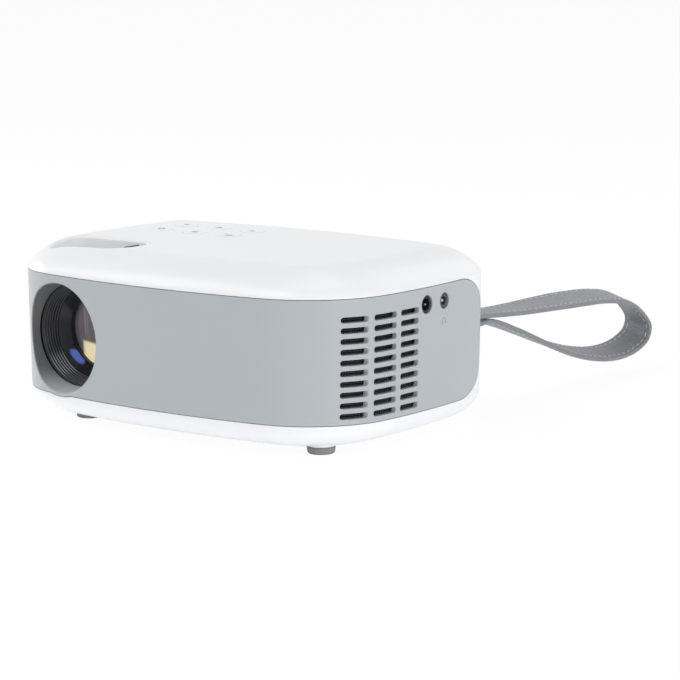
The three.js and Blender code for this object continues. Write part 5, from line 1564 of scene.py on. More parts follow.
    def band(self) -> None:
        """Grey band with the hood of the lens, the vents and the side sockets."""
        form = self.form
        outer, front = self.hood_mouth + self.hood_wall, -form.half_depth - OVERRUN
        ends = [(0.0, front), (outer, front), (outer, self.hood_rear), (0.0, self.hood_rear)]
        hood = combine(self.about_lens(ends, self.hood_steps), Join.KEEP, form.body(0))
        band = combine(form.shell(), Join.KEEP, form.envelope(-form.seam_gap / 2))
        combine(band, Join.ADD, hood)
        mouth = form.hole(self.mouth_rim, Face.FRONT, self.hood_lip_depth, self.hood_lip, 4, self.hood_draft)
        end = self.hood_rear + OVERRUN
        bore = [(0.0, -form.half_depth), (self.hood_mouth, -form.half_depth)]
        bore += [(self.hood_mouth, self.hood_cone_start)]
        bore += [(self.hood_throat, self.hood_rear), (self.hood_throat, end), (0.0, end)]
        throat = self.about_lens(bore, self.hood_steps)
        sharp = (Face.RIGHT, self.wall_depth, self.fine_lip, self.slot_corner, 4, 1.6)
        slots = [form.slot((y, z), (length, self.slot_height), *sharp) for y, z, length in self.slot_places()]
        round_hole = (48, Face.RIGHT, self.wall_depth, self.lip)
        holes = [form.bore((jack.y, self.jack_z), jack.hole, *round_hole) for jack in JACKS]
        combine(band, Join.CUT, mouth, throat, merged(slots), merged(holes))
        finish_piece(form.shade(band), "side_band_shell", Body.CASE, GREY_ABS, Slot.BAND, "side_band")

    def on_right_wall(self, flat: Array, sink: float) -> Array:
        """Puts flat points, given as (Y, Z), at a depth under the right wall."""
        return np.insert(flat, 0, self.form.place_on(Face.RIGHT, *flat.T) - sink, axis=1)

    def sound_mark(self) -> None:
        """Small printed headphone sign under the sound socket."""
        y, z = self.sound_mark_middle
        radius = self.sound_mark_radius
        line, sweep = self.sound_mark_line, self.sound_mark_sweep
        parts = [arc_stroke((y, z), radius, line, sweep, self.ink, self.on_right_wall)]
        drop, width, height, corner = self.ear_pad
        for side in (-1, 1):
            pad = rounded_rectangle((y + side * radius, z - drop), width, height, corner, steps=3)
            parts.append(loft("mark", [self.on_right_wall(pad, sink) for sink in self.ink]))
        finish_piece(merged(parts), "headphone_mark", Body.CASE, WALL_MARK, Slot.DARK)


@dataclass
class LensUnit:
    """Barrel, baffles, glass and the focus ring with its lever."""

    x: float = -55.5
    z: float = 37.0
    steps: int = 120
    front_y: float = -51.7
    head_radius: float = 25.6
    mouth_radius: float = 23.6
    mouth_edge: float = 0.4
    bore: float = 19.0
    floor_depth: float = 3.0
    floor_ledge: float = 1.2
    floor_ease: tuple[Pair, ...] = ((-0.2, 0.6), (0.0, 1.2))
    tube: tuple[Pair, ...] = ((14.8, -23.7), (12.9, -15.8), (16.3, -9.5), (21.5, -41.0))
    glass_y: float = -36.5
    glass_room: float = 3.7
    glass_radius: float = 18.4
    glass_edge: float = 3.4
    glass_bulge: float = 2.4
    glass_rings: int = 12
    glass_steps: int = 96
    retainer: Pair = (17.1, 18.7)
    retainer_thick: float = 1.6
    retainer_gap: float = 0.3
    seat_edge: Pair = (17.75, -38.75)
    seat_back: Pair = (0.3, 0.15)
    seat_front: float = 0.5
    seat_overlap: float = 0.4
    baffle_count: int = 6
    baffle_pitch: float = 1.3
    baffle_start: float = 0.9
    baffle_inset: float = 0.25
    baffle_thick: float = 0.27
    baffle_sides: int = 8
    ring_inner: float = 24.3
    ring_outer: float = 27.0
    ring_y: float = -31.6
    ring_width: float = 6.0
    lever_angle: float = 20.0
    lever_foot: float = 35.0
    lever_tip: float = 41.8
    lever_length: float = 10.6
    lever_thick: float = 2.4
    lever_rings: tuple[Triple, ...] = (
        (0.0, 0.0, 0.6), (0.15, 0.15, 0.0), (0.6, 0.6, 0.0), (0.9, 0.9, 0.0), (1.0, 1.6, 1.2)
    )
    stem_half: Pair = (1.5, 1.8)
    stem_overlap: float = 1.0

    def about_lens(self, profile: Sequence[Pair], steps: int, closed: bool = True) -> Piece:
        """Turns a profile of (radius, place along Y) about the lens axis and shades it."""
        return smooth(revolve("turned", profile, Axis.Y, (self.x, 0.0, self.z), steps, closed))

    def floor_y(self) -> float:
        """Place of the floor of the mouth."""
        return self.glass_y - self.floor_depth

    def slope(self) -> float:
        """How much the mouth narrows for each millimetre of depth."""
        return (self.mouth_radius - self.bore - self.floor_ledge) / (self.floor_y() - self.front_y)

    def barrel(self) -> None:
        """Black barrel: flared mouth, seat of the front glass and the stepped tube behind it."""
        y, edge, floor = self.front_y, self.mouth_edge, self.floor_y()
        place = self.glass_y + self.glass_room
        profile = [(self.head_radius - edge, y), (self.mouth_radius + edge, y), (self.mouth_radius, y + edge)]
        profile.append((self.bore + self.floor_ledge, floor))
        profile += [(self.bore + out, floor + depth) for out, depth in self.floor_ease]
        profile.append((self.bore, place))
        for radius, end in (*self.tube, (self.head_radius, y + edge)):
            profile += [(radius, place), (radius, end)]
            place = end
        made = self.about_lens(profile, self.steps)
        finish_piece(made, "lens_barrel_tube", Body.BARREL, BLACK_PC, Slot.BLACK, "lens_barrel")

    def baffles(self) -> None:
        """Fine rings that stop stray light in the mouth, made by a geometry tree."""
        values = {
            "Count": self.baffle_count,
            "First radius": (self.mouth_radius - self.baffle_inset) * MM,
            "Radius step": self.baffle_pitch * self.slope() * MM,
            "Pitch": self.baffle_pitch * MM,
            "Ring thickness": self.baffle_thick * MM,
            "Axis X": self.x * MM,
            "Front Y": (self.front_y + self.baffle_start) * MM,
            "Axis Z": self.z * MM,
        }
        tree, socket = grown_tree("baffle_rings", values)
        first = {0: socket["Axis X"], 1: socket["Front Y"], 2: socket["Axis Z"]}
        start = add_node(tree, "ShaderNodeCombineXYZ", first).outputs[0]
        offset = add_node(tree, "ShaderNodeCombineXYZ", {1: socket["Pitch"]}).outputs[0]
        spread = {"Count": socket["Count"], "Start Location": start, "Offset": offset}
        line = add_node(tree, "GeometryNodeMeshLine", spread)
        index = add_node(tree, "GeometryNodeInputIndex")
        steps = {0: index.outputs[0], 1: socket["Radius step"]}
        shrink = add_node(tree, "ShaderNodeMath", steps, operation="MULTIPLY")
        sizes = {0: socket["First radius"], 1: shrink.outputs[0]}
        radius = add_node(tree, "ShaderNodeMath", sizes, operation="SUBTRACT")
        unit = {"Resolution": self.glass_steps, "Radius": 1.0}
        ring = add_node(tree, "GeometryNodeCurvePrimitiveCircle", unit)
        laid = {
            "Points": line.outputs[0],
            "Instance": ring.outputs[0],
            "Rotation": (math.pi / 2, 0.0, 0.0),
            "Scale": radius.outputs[0],
        }
        placed = add_node(tree, "GeometryNodeInstanceOnPoints", laid)
        real = add_node(tree, "GeometryNodeRealizeInstances", {0: placed.outputs[0]})
        thick = {"Resolution": self.baffle_sides, "Radius": socket["Ring thickness"]}
        section = add_node(tree, "GeometryNodeCurvePrimitiveCircle", thick)
        skin = {"Curve": real.outputs[0], "Profile Curve": section.outputs[0]}
        tubes = add_node(tree, "GeometryNodeCurveToMesh", skin).outputs[0]
        made = grown_piece(tree, tubes, TURNED, values, add_mesh("baffles", []))
        finish_piece(smooth(made, 60), "lens_mouth_baffles", Body.BARREL, TURNED, Slot.BLACK)

    def seat(self) -> None:
        """Polished cone from the fine rings to the edge of the front glass."""
        start = self.front_y + self.baffle_start + self.baffle_pitch * (self.baffle_count - self.seat_overlap)
        wide = self.mouth_radius - self.slope() * (start - self.front_y) - HAIR
        narrow, end = self.seat_edge
        out, back = self.seat_back
        profile = [(wide, start), (narrow, end), (narrow + out, end + back), (wide, start + self.seat_front)]
        made = self.about_lens(profile, self.steps)
        finish_piece(made, "front_glass_seat", Body.BARREL, SEAT, Slot.BLACK)

    def glass(self) -> None:
        """Front glass with a curved face, and the ring that holds it."""
        radius, rear = self.glass_radius, self.glass_y + self.glass_edge
        profile = []
        for share in np.arange(self.glass_rings + 1) / self.glass_rings:
            profile.append((float(radius * share), float(self.glass_y - self.glass_bulge * (1 - share**2))))
        made = self.about_lens([*profile, (radius, rear), (0.0, rear)], self.glass_steps, closed=False)
        finish_piece(made, "front_lens_glass", Body.BARREL, FRONT_OPTIC, Slot.GLASS, "front_lens")
        inner, outer = self.retainer
        end = self.glass_y - self.retainer_gap
        front = end - self.retainer_thick
        held = self.about_lens([(inner, front), (outer, front), (outer, end), (inner, end)], self.glass_steps)
        finish_piece(held, "lens_retaining_ring", Body.BARREL, BLACK_PC, Slot.BLACK, "lens_retainer")

    def focus_ring(self) -> None:
        """Ring round the sleeve with the lever that stands in the scoop."""
        inner, outer, half = self.ring_inner, self.ring_outer, self.ring_width / 2
        profile = [(inner, -half), (outer, -half), (outer, half), (inner, half)]
        ring = revolve("ring", profile, Axis.Y, (0.0, self.ring_y, 0.0), self.glass_steps, closed=True)
        wide, deep = self.stem_half
        along = (self.ring_y - deep, self.ring_y + deep)
        stem = block((-wide, wide), along, (outer - self.stem_overlap, self.lever_foot + self.stem_overlap))
        rings = []
        for share, thinner, shorter in self.lever_rings:
            radius = self.lever_foot + (self.lever_tip - self.lever_foot) * share
            thick, length = self.lever_thick - thinner, self.lever_length - shorter
            flat = rounded_rectangle((0.0, self.ring_y), thick, length, thick / 2 - HAIR, steps=4)
            rings.append(np.insert(flat, 2, radius, axis=1))
        made = combine(ring, Join.ADD, stem, loft("lever", rings))
        turn = Matrix.Rotation(math.radians(self.lever_angle), 4, "Y")
        made.data.transform(Matrix.Translation((self.x * MM, 0.0, self.z * MM)) @ turn)
        finish_piece(smooth(made), "focus_ring_lever", Body.RING, DARK_ABS, Slot.DARK, "focus_ring")


@dataclass
class Screens:
    """Woven screens behind the vents and the intake slots."""

    form: CaseForm
    pitch: float = 1.15
    wire: float = 0.2
    wire_sides: int = 5
    behind: float = 3.75
    vent_y: Pair = (-48.8, -1.6)
    vent_z: Pair = (12.8, 58.8)
    intake_x: Pair = (18.4, 55.0)
    intake_y: Pair = (-32.0, 0.0)
    intake_z: float = 3.0

    def weave(self, name: str, rows: Sequence[Array], node: str) -> None:
        """Turns lines into round wires with a geometry tree.

        Args:
            name: Name of the piece.
            rows: Points of each line.
            node: Solid that the piece stands for.
        """
        values = {"Wire radius": self.wire * MM, "Wire sides": self.wire_sides}
        tree, socket = grown_tree(name, values)
        lines = add_node(tree, "GeometryNodeMeshToCurve", {0: socket["Geometry"]})
        thick = {"Resolution": socket["Wire sides"], "Radius": socket["Wire radius"]}
        section = add_node(tree, "GeometryNodeCurvePrimitiveCircle", thick)
        skin = {"Curve": lines.outputs[0], "Profile Curve": section.outputs[0], "Fill Caps": True}
        shape = add_node(tree, "GeometryNodeCurveToMesh", skin).outputs[0]
        made = grown_piece(tree, shape, SCREEN, values, polyline(name, rows))
        finish_piece(smooth(made, 80), name, Body.CASE, SCREEN, Slot.MESH, node)

    def vent(self) -> None:
        """Screen behind the side vents, bent like the wall."""
        low, high = self.vent_z
        y = np.arange(*self.vent_y, self.pitch)
        x = self.form.place_on(Face.RIGHT, y, np.full_like(y, (low + high) / 2)) - self.behind
        rows = [np.array([[a, b, low], [a, b, high]]) for a, b in zip(x, y, strict=True)]
        rows += [np.stack([x, y, np.full_like(x, z)], axis=1) for z in np.arange(low, high, self.pitch)]
        self.weave("vent_screen", rows, "vent_mesh")

    def intake(self) -> None:
        """Flat screen over the intake slots."""
        (x0, x1), (y0, y1), z = self.intake_x, self.intake_y, self.intake_z
        rows = [np.array([[x, y0, z], [x, y1, z]]) for x in np.arange(x0, x1, self.pitch)]
        rows += [np.array([[x0, y, z], [x1, y, z]]) for y in np.arange(y0, y1, self.pitch)]
        self.weave("intake_screen", rows, "intake_mesh")


@dataclass(frozen=True)
class Sign:
    """Printed sign of a key, about its middle.

    Attributes:
        bars: Middle, width and height of each bar.
        wedges: Corners of each triangle.
        arcs: Radius, start and end in degrees of each round stroke.
    """

    bars: tuple[tuple[float, float, float, float], ...] = ()
    wedges: tuple[tuple[Pair, Pair, Pair], ...] = ()
    arcs: tuple[Triple, ...] = ()


SIGNS = {
    "power_key": Sign(bars=((0.0, 1.4, 0.42, 1.6),), arcs=((1.6, 130, 410),)),
    "menu_key": Sign(bars=((0.0, -1.1, 3.2, 0.45), (0.0, 0.0, 3.2, 0.45), (0.0, 1.1, 3.2, 0.45))),
    "play_key": Sign(
        bars=((1.1, 0.0, 0.4, 2.6), (1.9, 0.0, 0.4, 2.6)), wedges=(((-1.7, -1.4), (0.5, 0.0), (-1.7, 1.4)),)
    ),
    "left_key": Sign(wedges=(((1.3, -1.5), (-1.5, 0.0), (1.3, 1.5)),)),
    "back_key": Sign(
        bars=((-0.85, -1.3, 1.6, 0.42),),
        wedges=(((-0.9, 2.0), (-0.9, 0.5), (-2.1, 1.25)),),
        arcs=((1.3, -90, 120),),
    ),
    "right_key": Sign(wedges=(((-1.3, -1.5), (1.5, 0.0), (-1.3, 1.5)),)),
}


@dataclass
class KeyPad:
    """Six flush keys with plain signs, in the order of SIGNS."""

    form: CaseForm
    first: Pair = (-61.5, 12.0)
    pitch: Pair = (20.4, 18.0)
    columns: int = 3
    lit: str = "menu_key"
    radius: float = 5.8
    proud: float = 0.3
    hole: float = 5.94
    plunger: float = 1.8
    plunger_z: Pair = (72.0, 74.3)
    flange: float = 1.2
    flange_top: float = 75.3
    rim: tuple[Pair, ...] = ((0.0, 0.3), (0.08, 0.12), (0.3, 0.02), (0.7, 0.0))
    dish: float = 0.12
    dish_shares: Triple = (0.7, 0.4, 0.0)
    line: float = 0.42
    ink: Pair = (-0.4, 0.02)

    def places(self) -> list[Pair]:
        """Middle of each key in plan."""
        (x, y), (across, back) = self.first, self.pitch
        return [(x + k % self.columns * across, y + k // self.columns * back) for k in range(len(SIGNS))]

    def sign(self, sign: Sign, middle: Pair, levels: Pair) -> Piece:
        """Sign of a key.

        Args:
            sign: Its shapes.
            middle: Middle of the key in plan.
            levels: Low and high level of the ink.

        Returns:
            The sign as one object.
        """

        def upright(flat: Array, level: float) -> Array:
            """Puts flat points at a height."""
            return np.insert(flat, 2, level, axis=1)

        flats = [rounded_rectangle((x, y), w, h, min(w, h) / 2 - SLIVER, steps=3) for x, y, w, h in sign.bars]
        flats += [np.array(wedge) for wedge in sign.wedges]
        parts = [loft("sign", [upright(flat + np.array(middle), level) for level in levels]) for flat in flats]
        for radius, start, end in sign.arcs:
            parts.append(arc_stroke(middle, radius, self.line, (start, end), levels, upright))
        return merged(parts)

    def build(self) -> None:
        """Makes the caps and their signs."""
        top, wide = self.form.height + self.proud, self.radius + self.flange
        foot, neck = self.plunger_z
        profile = [(0.0, foot), (self.plunger, foot), (self.plunger, neck), (wide, neck)]
        profile += [(wide, self.flange_top), (self.radius, self.flange_top)]
        profile += [(self.radius - inward, top - down) for inward, down in self.rim]
        profile += [(self.radius * share, top - self.dish * (1 - share**2)) for share in self.dish_shares]
        levels = (top + self.ink[0], top + self.ink[1])
        for (name, sign), place in zip(SIGNS.items(), self.places(), strict=True):
            cap = revolve("cap", profile, Axis.Z, (*place, 0.0), 56)
            finish_piece(smooth(cap, 50), f"{name}_cap", name, WHITE_ABS, Slot.SHELL, name)
            look = LIT_MARK if name == self.lit else MARK
            finish_piece(self.sign(sign, place, levels), f"{name}_sign", name, look, Slot.DARK)


@dataclass
class SideSockets:
    """Power and sound sockets in the right wall.

    Attributes:
        sink: How far the faces stand behind the wall.
        bore_depth: Depth of the bores.
        edges: Width of the bore's bevel, its depth, and the round of the outer edge.
        collar: Radius and place of the collar that holds the socket, and the socket's rear end.
    """

    form: CaseForm
    z: float
    sink: float = 0.4
    bore_depth: float = 9.0
    edges: Triple = (0.4, 0.5, 0.3)
    neck: float = 3.2
    collar: Triple = (4.6, 3.3, 14.0)

    def build(self) -> None:
        """Makes both sockets with their bores and contacts."""
        bevel, bevel_depth, edge = self.edges
        collar, collar_start, rear = self.collar
        for jack in JACKS:
            wall = self.form.place_on(Face.RIGHT, np.array([jack.y]), np.array([self.z]))
            face = float(wall[0]) - self.sink
            middle = (face, jack.y, self.z)
            profile = [(0.0, -self.bore_depth), (jack.bore, -self.bore_depth), (jack.bore, -bevel_depth)]
            profile += [(jack.bore + bevel, 0.0), (jack.outer - edge, 0.0), (jack.outer, -edge)]
            profile += [(jack.outer, -self.neck), (collar, -collar_start), (collar, -rear), (0.0, -rear)]
            shell = revolve("shell", profile, Axis.X, middle, 64)
            finish_piece(smooth(shell), f"{jack.name}_shell", Body.CASE, jack.look, jack.slot, jack.name)
            contact = revolve("contact", jack.contact_profile, Axis.X, middle, 32)
            finish_piece(smooth(contact), jack.contact, Body.CASE, STEEL, Slot.STEEL)


@dataclass
class Underside:
    """Rubber feet and the case screws."""

    feet: tuple[Pair, ...]
    screws: tuple[Pair, ...]
    foot_names: tuple[str, ...] = ("front_left_foot", "front_right_foot", "rear_left_foot", "rear_right_foot")
    screw_names: tuple[str, ...] = (
        "rear_left_screw", "front_middle_screw", "front_right_screw", "rear_right_screw"
    )
    foot_profile: tuple[Pair, ...] = (
        (0.0, -4.2), (4.6, -4.2), (5.5, -4.05), (6.0, -3.6), (6.3, -1.6),
        (6.3, -1.0), (2.4, -1.0), (2.4, 2.0), (0.0, 2.0),
    )
    screw_z: float = 28.7

    def build(self) -> None:
        """Makes the feet and the screws."""
        for place, name in zip(self.feet, self.foot_names, strict=True):
            made = revolve("foot", self.foot_profile, Axis.Z, (*place, 0.0), 56)
            finish_piece(smooth(made), f"{name}_pad", Body.CASE, RUBBER, Slot.RUBBER, name)
        self.screw_set()

    def screw_set(self) -> None:
        """Cross-recess screws on the marked points, made by a geometry tree."""
        values = {
            "Head radius": 2.8 * MM,
            "Head height": 2.0 * MM,
            "Shank radius": 1.2 * MM,
            "Shank length": 17.3 * MM,
            "Recess width": 0.8 * MM,
            "Recess length": 2.6 * MM,
            "Recess depth": 2.2 * MM,
        }
        tree, socket = grown_tree("case_screws", values)
        head = {"Vertices": 32, "Radius": socket["Head radius"], "Depth": socket["Head height"]}
        shank = {"Vertices": 20, "Radius": socket["Shank radius"], "Depth": socket["Shank length"]}
        disc, rod = (add_node(tree, "GeometryNodeMeshCylinder", sizes).outputs[0] for sizes in (head, shank))
        width, length, depth = (socket[f"Recess {size}"] for size in ("width", "length", "depth"))
        bars = []
        for x, y in ((width, length), (length, width)):
            size = add_node(tree, "ShaderNodeCombineXYZ", {0: x, 1: y, 2: depth})
            bars.append(add_node(tree, "GeometryNodeMeshCube", {"Size": size.outputs[0]}).outputs[0])
        raised = []
        for shape, height, share in (
            (bars[0], "Head height", -0.5), (bars[1], "Head height", -0.5), (rod, "Shank length", 0.5)
        ):
            way = add_node(tree, "ShaderNodeMath", {0: socket[height], 1: share}, operation="MULTIPLY")
            up = add_node(tree, "ShaderNodeCombineXYZ", {2: way.outputs[0]})
            moved = {"Geometry": shape, "Translation": up.outputs[0]}
            raised.append(add_node(tree, "GeometryNodeTransform", moved).outputs[0])
        cut = add_node(tree, "GeometryNodeMeshBoolean", {"Mesh 1": disc}, operation="DIFFERENCE")
        for bar in raised[:2]:
            tree.links.new(bar, cut.inputs["Mesh 2"])
        whole = add_node(tree, "GeometryNodeJoinGeometry", {0: cut.outputs[0]})
        tree.links.new(raised[2], whole.inputs[0])
        laid = {"Points": socket["Geometry"], "Instance": whole.outputs[0]}
        placed = add_node(tree, "GeometryNodeInstanceOnPoints", laid).outputs[0]
        base = add_mesh("screw_points", [(x, y, self.screw_z) for x, y in self.screws])
        made = grown_piece(tree, placed, STEEL, values, base)
        finish_piece(smooth(made), "case_screws", Body.CASE, STEEL, Slot.STEEL, *self.screw_names)


@dataclass
class CarryStrap:
    """Leather strap: one ply round its pin, out, round the end and back."""

    x: float = 75.0
    width: float = 16.0
    thickness: float = 2.2
    pin_y: float = 54.5
    pin_z: float = 40.4
    pin_radius: float = 1.6
    fit: float = 0.3
    join_y: float = 77.0
    ply_gap: float = 0.5
    reach: float = 164.8
    drop: float = 32.4
    twist: float = 16.0
    twist_length: float = 70.0
    loop_steps: int = 8
    span_steps: int = 10
    edge_radius: float = 0.9
    edge_steps: int = 6
    crown_steps: int = 34
    seam_inset: float = 2.3
    seam_dip: float = 0.22
    seam_spread: float = 0.5
    seam_lead: float = 6.0
    thread_sink: float = 0.08
    upper: tuple[Pair, ...] = (
        (0.308, 0.004), (0.477, 0.025), (0.634, 0.051), (0.773, 0.1), (0.888, 0.216),
        (0.965, 0.445), (1.0, 0.646), (0.988, 0.817), (0.944, 0.93), (0.871, 1.0),
        (0.773, 0.993), (0.653, 0.891), (0.516, 0.693), (0.374, 0.427), (0.268, 0.231),
    )

    def route(self) -> Array:
        """Points of the strap's middle line.

        Returns:
            The closed row as (Y, Z).
        """
        wrap = self.pin_radius + self.fit + self.thickness / 2
        offset = self.thickness / 2 + self.ply_gap / 2
        points = []
        for i in range(self.loop_steps + 1):
            angle = -math.pi / 2 - math.pi * i / self.loop_steps
            points.append([self.pin_y + wrap * math.cos(angle), self.pin_z + wrap * math.sin(angle)])
        points.append([self.join_y, self.pin_z + offset])
        points += [[self.pin_y + self.reach * out, self.pin_z - self.drop * down] for out, down in self.upper]
        points.append([self.join_y, self.pin_z - offset])
        return np.array(points)

    def curve(self) -> list[tuple[Array, Array]]:
        """Follows a centripetal spline through the route.

        Returns:
            Points and directions.
        """
        points = self.route()
        count = len(points)
        found = []
        for i in range(count):
            p0, p1, p2, p3 = (points[(i + k - 1) % count] for k in range(4))
            d0, d1, d2 = (math.sqrt(float(np.linalg.norm(b - a))) for a, b in ((p0, p1), (p1, p2), (p2, p3)))
            t1 = ((p1 - p0) / d0 - (p2 - p0) / (d0 + d1) + (p2 - p1) / d1) * d1
            t2 = ((p2 - p1) / d1 - (p3 - p1) / (d1 + d2) + (p3 - p2) / d2) * d1
            c2, c3 = -3 * p1 + 3 * p2 - 2 * t1 - t2, 2 * p1 - 2 * p2 + t1 + t2
            for s in np.arange(self.span_steps) / self.span_steps:
                found.append((p1 + t1 * s + c2 * s * s + c3 * s**3, t1 + 2 * c2 * s + 3 * c3 * s * s))
        return found

    def frames(self) -> list[tuple[Array, Array, Array]]:
        """Places along the strap.

        Returns:
            Centre, width direction and face direction of each.
        """
        found = []
        for point, way in self.curve():
            turn = min(max((point[0] - self.join_y) / self.twist_length, 0.0), 1.0)
            lean = math.radians(self.twist) * turn
            across = np.array([math.cos(lean), 0.0, -math.sin(lean)])
            tangent = np.array([0.0, way[0], way[1]]) / np.linalg.norm(way)
            normal = np.cross(across, tangent)
            normal /= np.linalg.norm(normal)
            found.append((np.array([self.x, point[0], point[1]]), across, normal))
        return found

    def section(self) -> Array:
        """Cross-section: soft edges, a pressed line under each row of stitches and a low crown between.

        Returns:
            Its points as (across, out), counterclockwise.
        """
        half_w, half_t, r = self.width / 2, self.thickness / 2, self.edge_radius
        seam = half_w - self.seam_inset

        def edge(middle: float, start: float) -> list[list[float]]:
            """Quarter round about a middle across the strap."""
            angles = start + math.pi / 2 * np.arange(self.edge_steps + 1) / self.edge_steps
            return [[middle + r * math.cos(a), half_t - r + r * math.sin(a)] for a in angles]

        upper = edge(half_w - r, 0.0)
        for w in np.linspace(half_w - r, -(half_w - r), self.crown_steps)[1:-1]:
            dip = self.seam_dip * math.exp(-(((abs(w) - seam) / self.seam_spread) ** 2))
            upper.append([float(w), half_t - dip])
        upper += edge(-half_w + r, math.pi / 2)
        return np.array(upper + [[w, -t] for w, t in reversed(upper)])

    def build(self) -> None:
        """Makes the strap and its stitches."""
        section, frames = self.section(), self.frames()
        wide, out = section[:, :1], section[:, 1:]
        rings = [middle + wide * across + out * normal for middle, across, normal in frames]
        made = loft("strap", rings, closed=True)
        finish_piece(smooth(made, 60), "carry_strap_leather", Body.STRAP, LEATHER, Slot.STRAP, "carry_strap")
        self.stitches([f for f in frames if f[0][1] > self.join_y - self.seam_lead])

    def stitches(self, frames: Sequence[tuple[Array, Array, Array]]) -> None:
        """Rows of thread on both faces, made by a geometry tree.

        Args:
            frames: Places along the stitched part of the strap.
        """
        seam, lift = self.width / 2 - self.seam_inset, self.thickness / 2 - self.thread_sink
        rows = []
        for side, face in ((-seam, -lift), (-seam, lift), (seam, -lift), (seam, lift)):
            rows.append(np.array([at + across * side + normal * face for at, across, normal in frames]))
        values = {"Stitch pitch": 4.4 * MM, "Stitch length": 2.9 * MM, "Thread radius": 0.28 * MM}
        tree, socket = grown_tree("strap_stitches", values)
        lines = add_node(tree, "GeometryNodeMeshToCurve", {0: socket["Geometry"]})
        spread = {"Curve": lines.outputs[0], "Length": socket["Stitch pitch"]}
        points = add_node(tree, "GeometryNodeCurveToPoints", spread, mode="LENGTH")
        grain = add_node(tree, "GeometryNodeMeshUVSphere", {"Segments": 8, "Rings": 6, "Radius": 1.0})
        half = add_node(tree, "ShaderNodeMath", {0: socket["Stitch length"], 1: 0.5}, operation="MULTIPLY")
        sizes = {0: socket["Thread radius"], 1: socket["Thread radius"], 2: half.outputs[0]}
        size = add_node(tree, "ShaderNodeCombineXYZ", sizes)
        way = {"Vector": points.outputs["Tangent"]}
        aim = add_node(tree, "FunctionNodeAlignRotationToVector", way, axis="Z")
        laid = {
            "Points": points.outputs["Points"],
            "Instance": grain.outputs[0],
            "Rotation": aim.outputs[0],
            "Scale": size.outputs[0],
        }
        placed = add_node(tree, "GeometryNodeInstanceOnPoints", laid).outputs[0]
        made = grown_piece(tree, placed, THREAD, values, polyline("stitch_lines", rows))
        finish_piece(smooth(made, 80), "strap_stitching", Body.STRAP, THREAD, Slot.STRAP)


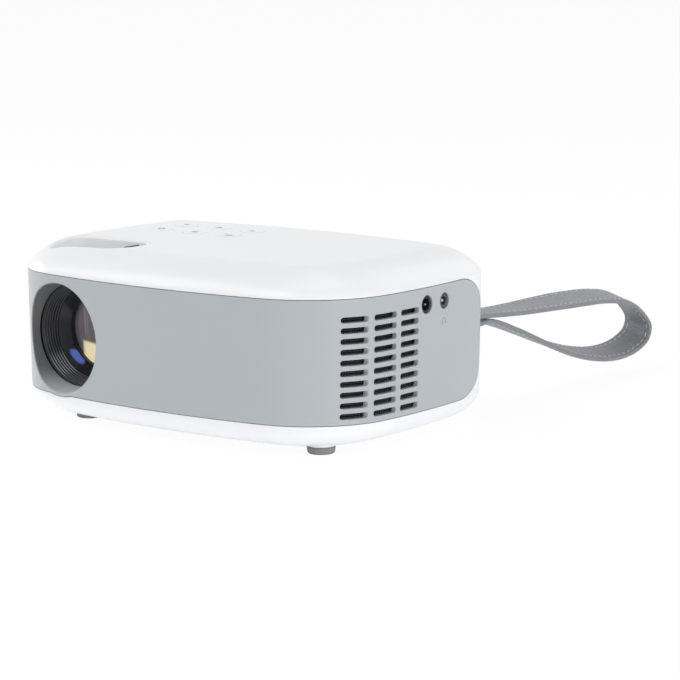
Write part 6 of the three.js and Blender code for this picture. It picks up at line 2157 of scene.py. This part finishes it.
@dataclass
class Studio:
    """Camera, lamps, floor and background; lamp places and sizes are metres, powers are watts."""

    azimuth: float = 37.5390
    elevation: float = 9.7018
    roll: float = 0.2399
    distance: float = 1208.0
    focal_px: float = 2712.99
    frame_px: float = 680.0
    target: Triple = (53.554, 0.0, 38.107)
    sensor: float = 36.0
    clip: Pair = (0.05, 20.0)
    aim: Triple = (0.0, 0.02, 0.04)
    floor_half: float = 4000.0
    floor_z: float = -4.2
    floor_colour: str = "F7F7F7"
    floor_glow: float = 0.27
    floor_white: float = 0.9
    ambient: float = 0.42
    lamps: tuple[tuple[str, Triple, float, float], ...] = (
        ("left_key_box", (-1.0, -0.5, 1.15), 0.7, 3.2),
        ("upper_front_box", (-0.3, -1.0, 1.4), 0.8, 5.8),
        ("overhead_box", (0.0, 0.3, 1.8), 1.0, 2.6),
        ("left_side_box", (-1.8, 0.0, 0.4), 0.8, 6.0),
        ("right_side_box", (1.8, -0.35, 0.25), 1.2, 16.5),
        ("rear_box", (0.2, 1.6, 1.0), 1.0, 2.0),
    )

    def camera(self) -> None:
        """Camera at the photograph's viewing angle."""
        a, e, r = (math.radians(v) for v in (self.azimuth, self.elevation, self.roll))
        back = Vector((math.sin(a) * math.cos(e), -math.cos(a) * math.cos(e), math.sin(e)))
        right = Vector((math.cos(a), math.sin(a), 0.0))
        up = back.cross(right)
        across = right * math.cos(r) - up * math.sin(r)
        above = right * math.sin(r) + up * math.cos(r)
        data = bpy.data.cameras.new("camera")
        data.sensor_width = self.sensor
        data.lens = self.sensor * self.focal_px / self.frame_px
        data.clip_start, data.clip_end = self.clip
        matrix = Matrix((across, above, back)).transposed().to_4x4()
        matrix.translation = (Vector(self.target) + back * self.distance) * MM
        made = linked("camera", data)
        made.matrix_world = matrix
        bpy.context.scene.camera = made

    def lamp(self, name: str, place: Triple, size: float, power: float) -> None:
        """Soft square lamp that faces the middle of the object.

        Args:
            name: Name of the lamp.
            place: Where it stands, in metres.
            size: Its edge in metres.
            power: Its power in watts.
        """
        data = bpy.data.lights.new(name, "AREA")
        data.size = size
        data.energy = power
        made = linked(name, data)
        made.location = place
        made.rotation_euler = (Vector(self.aim) - Vector(place)).to_track_quat("-Z", "Y").to_euler()

    def world(self) -> None:
        """White surroundings: full white where they are seen, softer as a light."""
        world = bpy.data.worlds.new("surroundings")
        bpy.context.scene.world = world
        tree = cleared_tree(world)
        path = add_node(tree, "ShaderNodeLightPath")
        shown = path.outputs["Is Camera Ray"]
        for ray in ("Is Transmission Ray", "Is Glossy Ray"):
            either = {0: shown, 1: path.outputs[ray]}
            shown = add_node(tree, "ShaderNodeMath", either, operation="MAXIMUM").outputs[0]
        limits = {"Value": shown, "To Min": self.ambient, "To Max": 1.0}
        strength = add_node(tree, "ShaderNodeMapRange", limits).outputs[0]
        back = add_node(tree, "ShaderNodeBackground", {"Color": WHITE, "Strength": strength})
        add_node(tree, "ShaderNodeOutputWorld", {"Surface": back.outputs[0]})

    def floor(self) -> None:
        """Pale floor, lit faintly from below, that keeps a soft shadow."""
        half, z = self.floor_half, self.floor_z
        corners = [(-half, -half, z), (half, -half, z), (half, half, z), (-half, half, z)]
        made = add_mesh("floor", corners, faces=[(0, 1, 2, 3)])
        material = bpy.data.materials.new("white_acrylic_light_table")
        tree = cleared_tree(material)
        matt = add_node(tree, "ShaderNodeBsdfDiffuse", {"Color": linear(self.floor_colour)})
        glow = add_node(tree, "ShaderNodeEmission", {"Strength": self.floor_glow})
        lit = add_node(tree, "ShaderNodeAddShader", {0: matt.outputs[0], 1: glow.outputs[0]})
        white = add_node(tree, "ShaderNodeEmission", {"Color": WHITE, "Strength": 1.0})
        path = add_node(tree, "ShaderNodeLightPath")
        dimmed = {0: path.outputs["Is Camera Ray"], 1: self.floor_white}
        share = add_node(tree, "ShaderNodeMath", dimmed, operation="MULTIPLY").outputs[0]
        mix = add_node(tree, "ShaderNodeMixShader", {0: share, 1: lit.outputs[0], 2: white.outputs[0]})
        add_node(tree, "ShaderNodeOutputMaterial", {"Surface": mix.outputs[0]})
        made.data.materials.append(material)

    def build(self) -> None:
        """Sets the scene."""
        self.camera()
        self.world()
        self.floor()
        for name, place, size, power in self.lamps:
            self.lamp(name, place, size, power)
        bpy.context.scene.view_settings.view_transform = "Standard"


def dress_solids() -> None:
    """Gives the solids that stay in view their finishes."""
    for look, slot, names in SOLID_LOOKS:
        for name in names:
            node = frame["nodes"][name]
            node.data.materials.clear()
            node.data.materials.append(look.make())
            log.info("%s keeps its solid", name)


def main() -> None:
    """Builds the studio and every piece in turn."""
    logging.basicConfig(level=logging.INFO, format="%(message)s")
    Studio().build()
    form = CaseForm()
    housing = Housing(form)
    keys = KeyPad(form)
    CarryStrap().build()
    housing.top_cover(keys.places(), keys.hole)
    housing.bottom_cover()
    housing.band()
    housing.hood_liner()
    housing.sound_mark()
    keys.build()
    lens = LensUnit()
    lens.barrel()
    lens.baffles()
    lens.seat()
    lens.glass()
    lens.focus_ring()
    Screens(form).vent()
    Screens(form).intake()
    SideSockets(form, housing.jack_z).build()
    Underside(housing.feet, housing.screws).build()
    dress_solids()


if __name__ == "__main__":
    main()
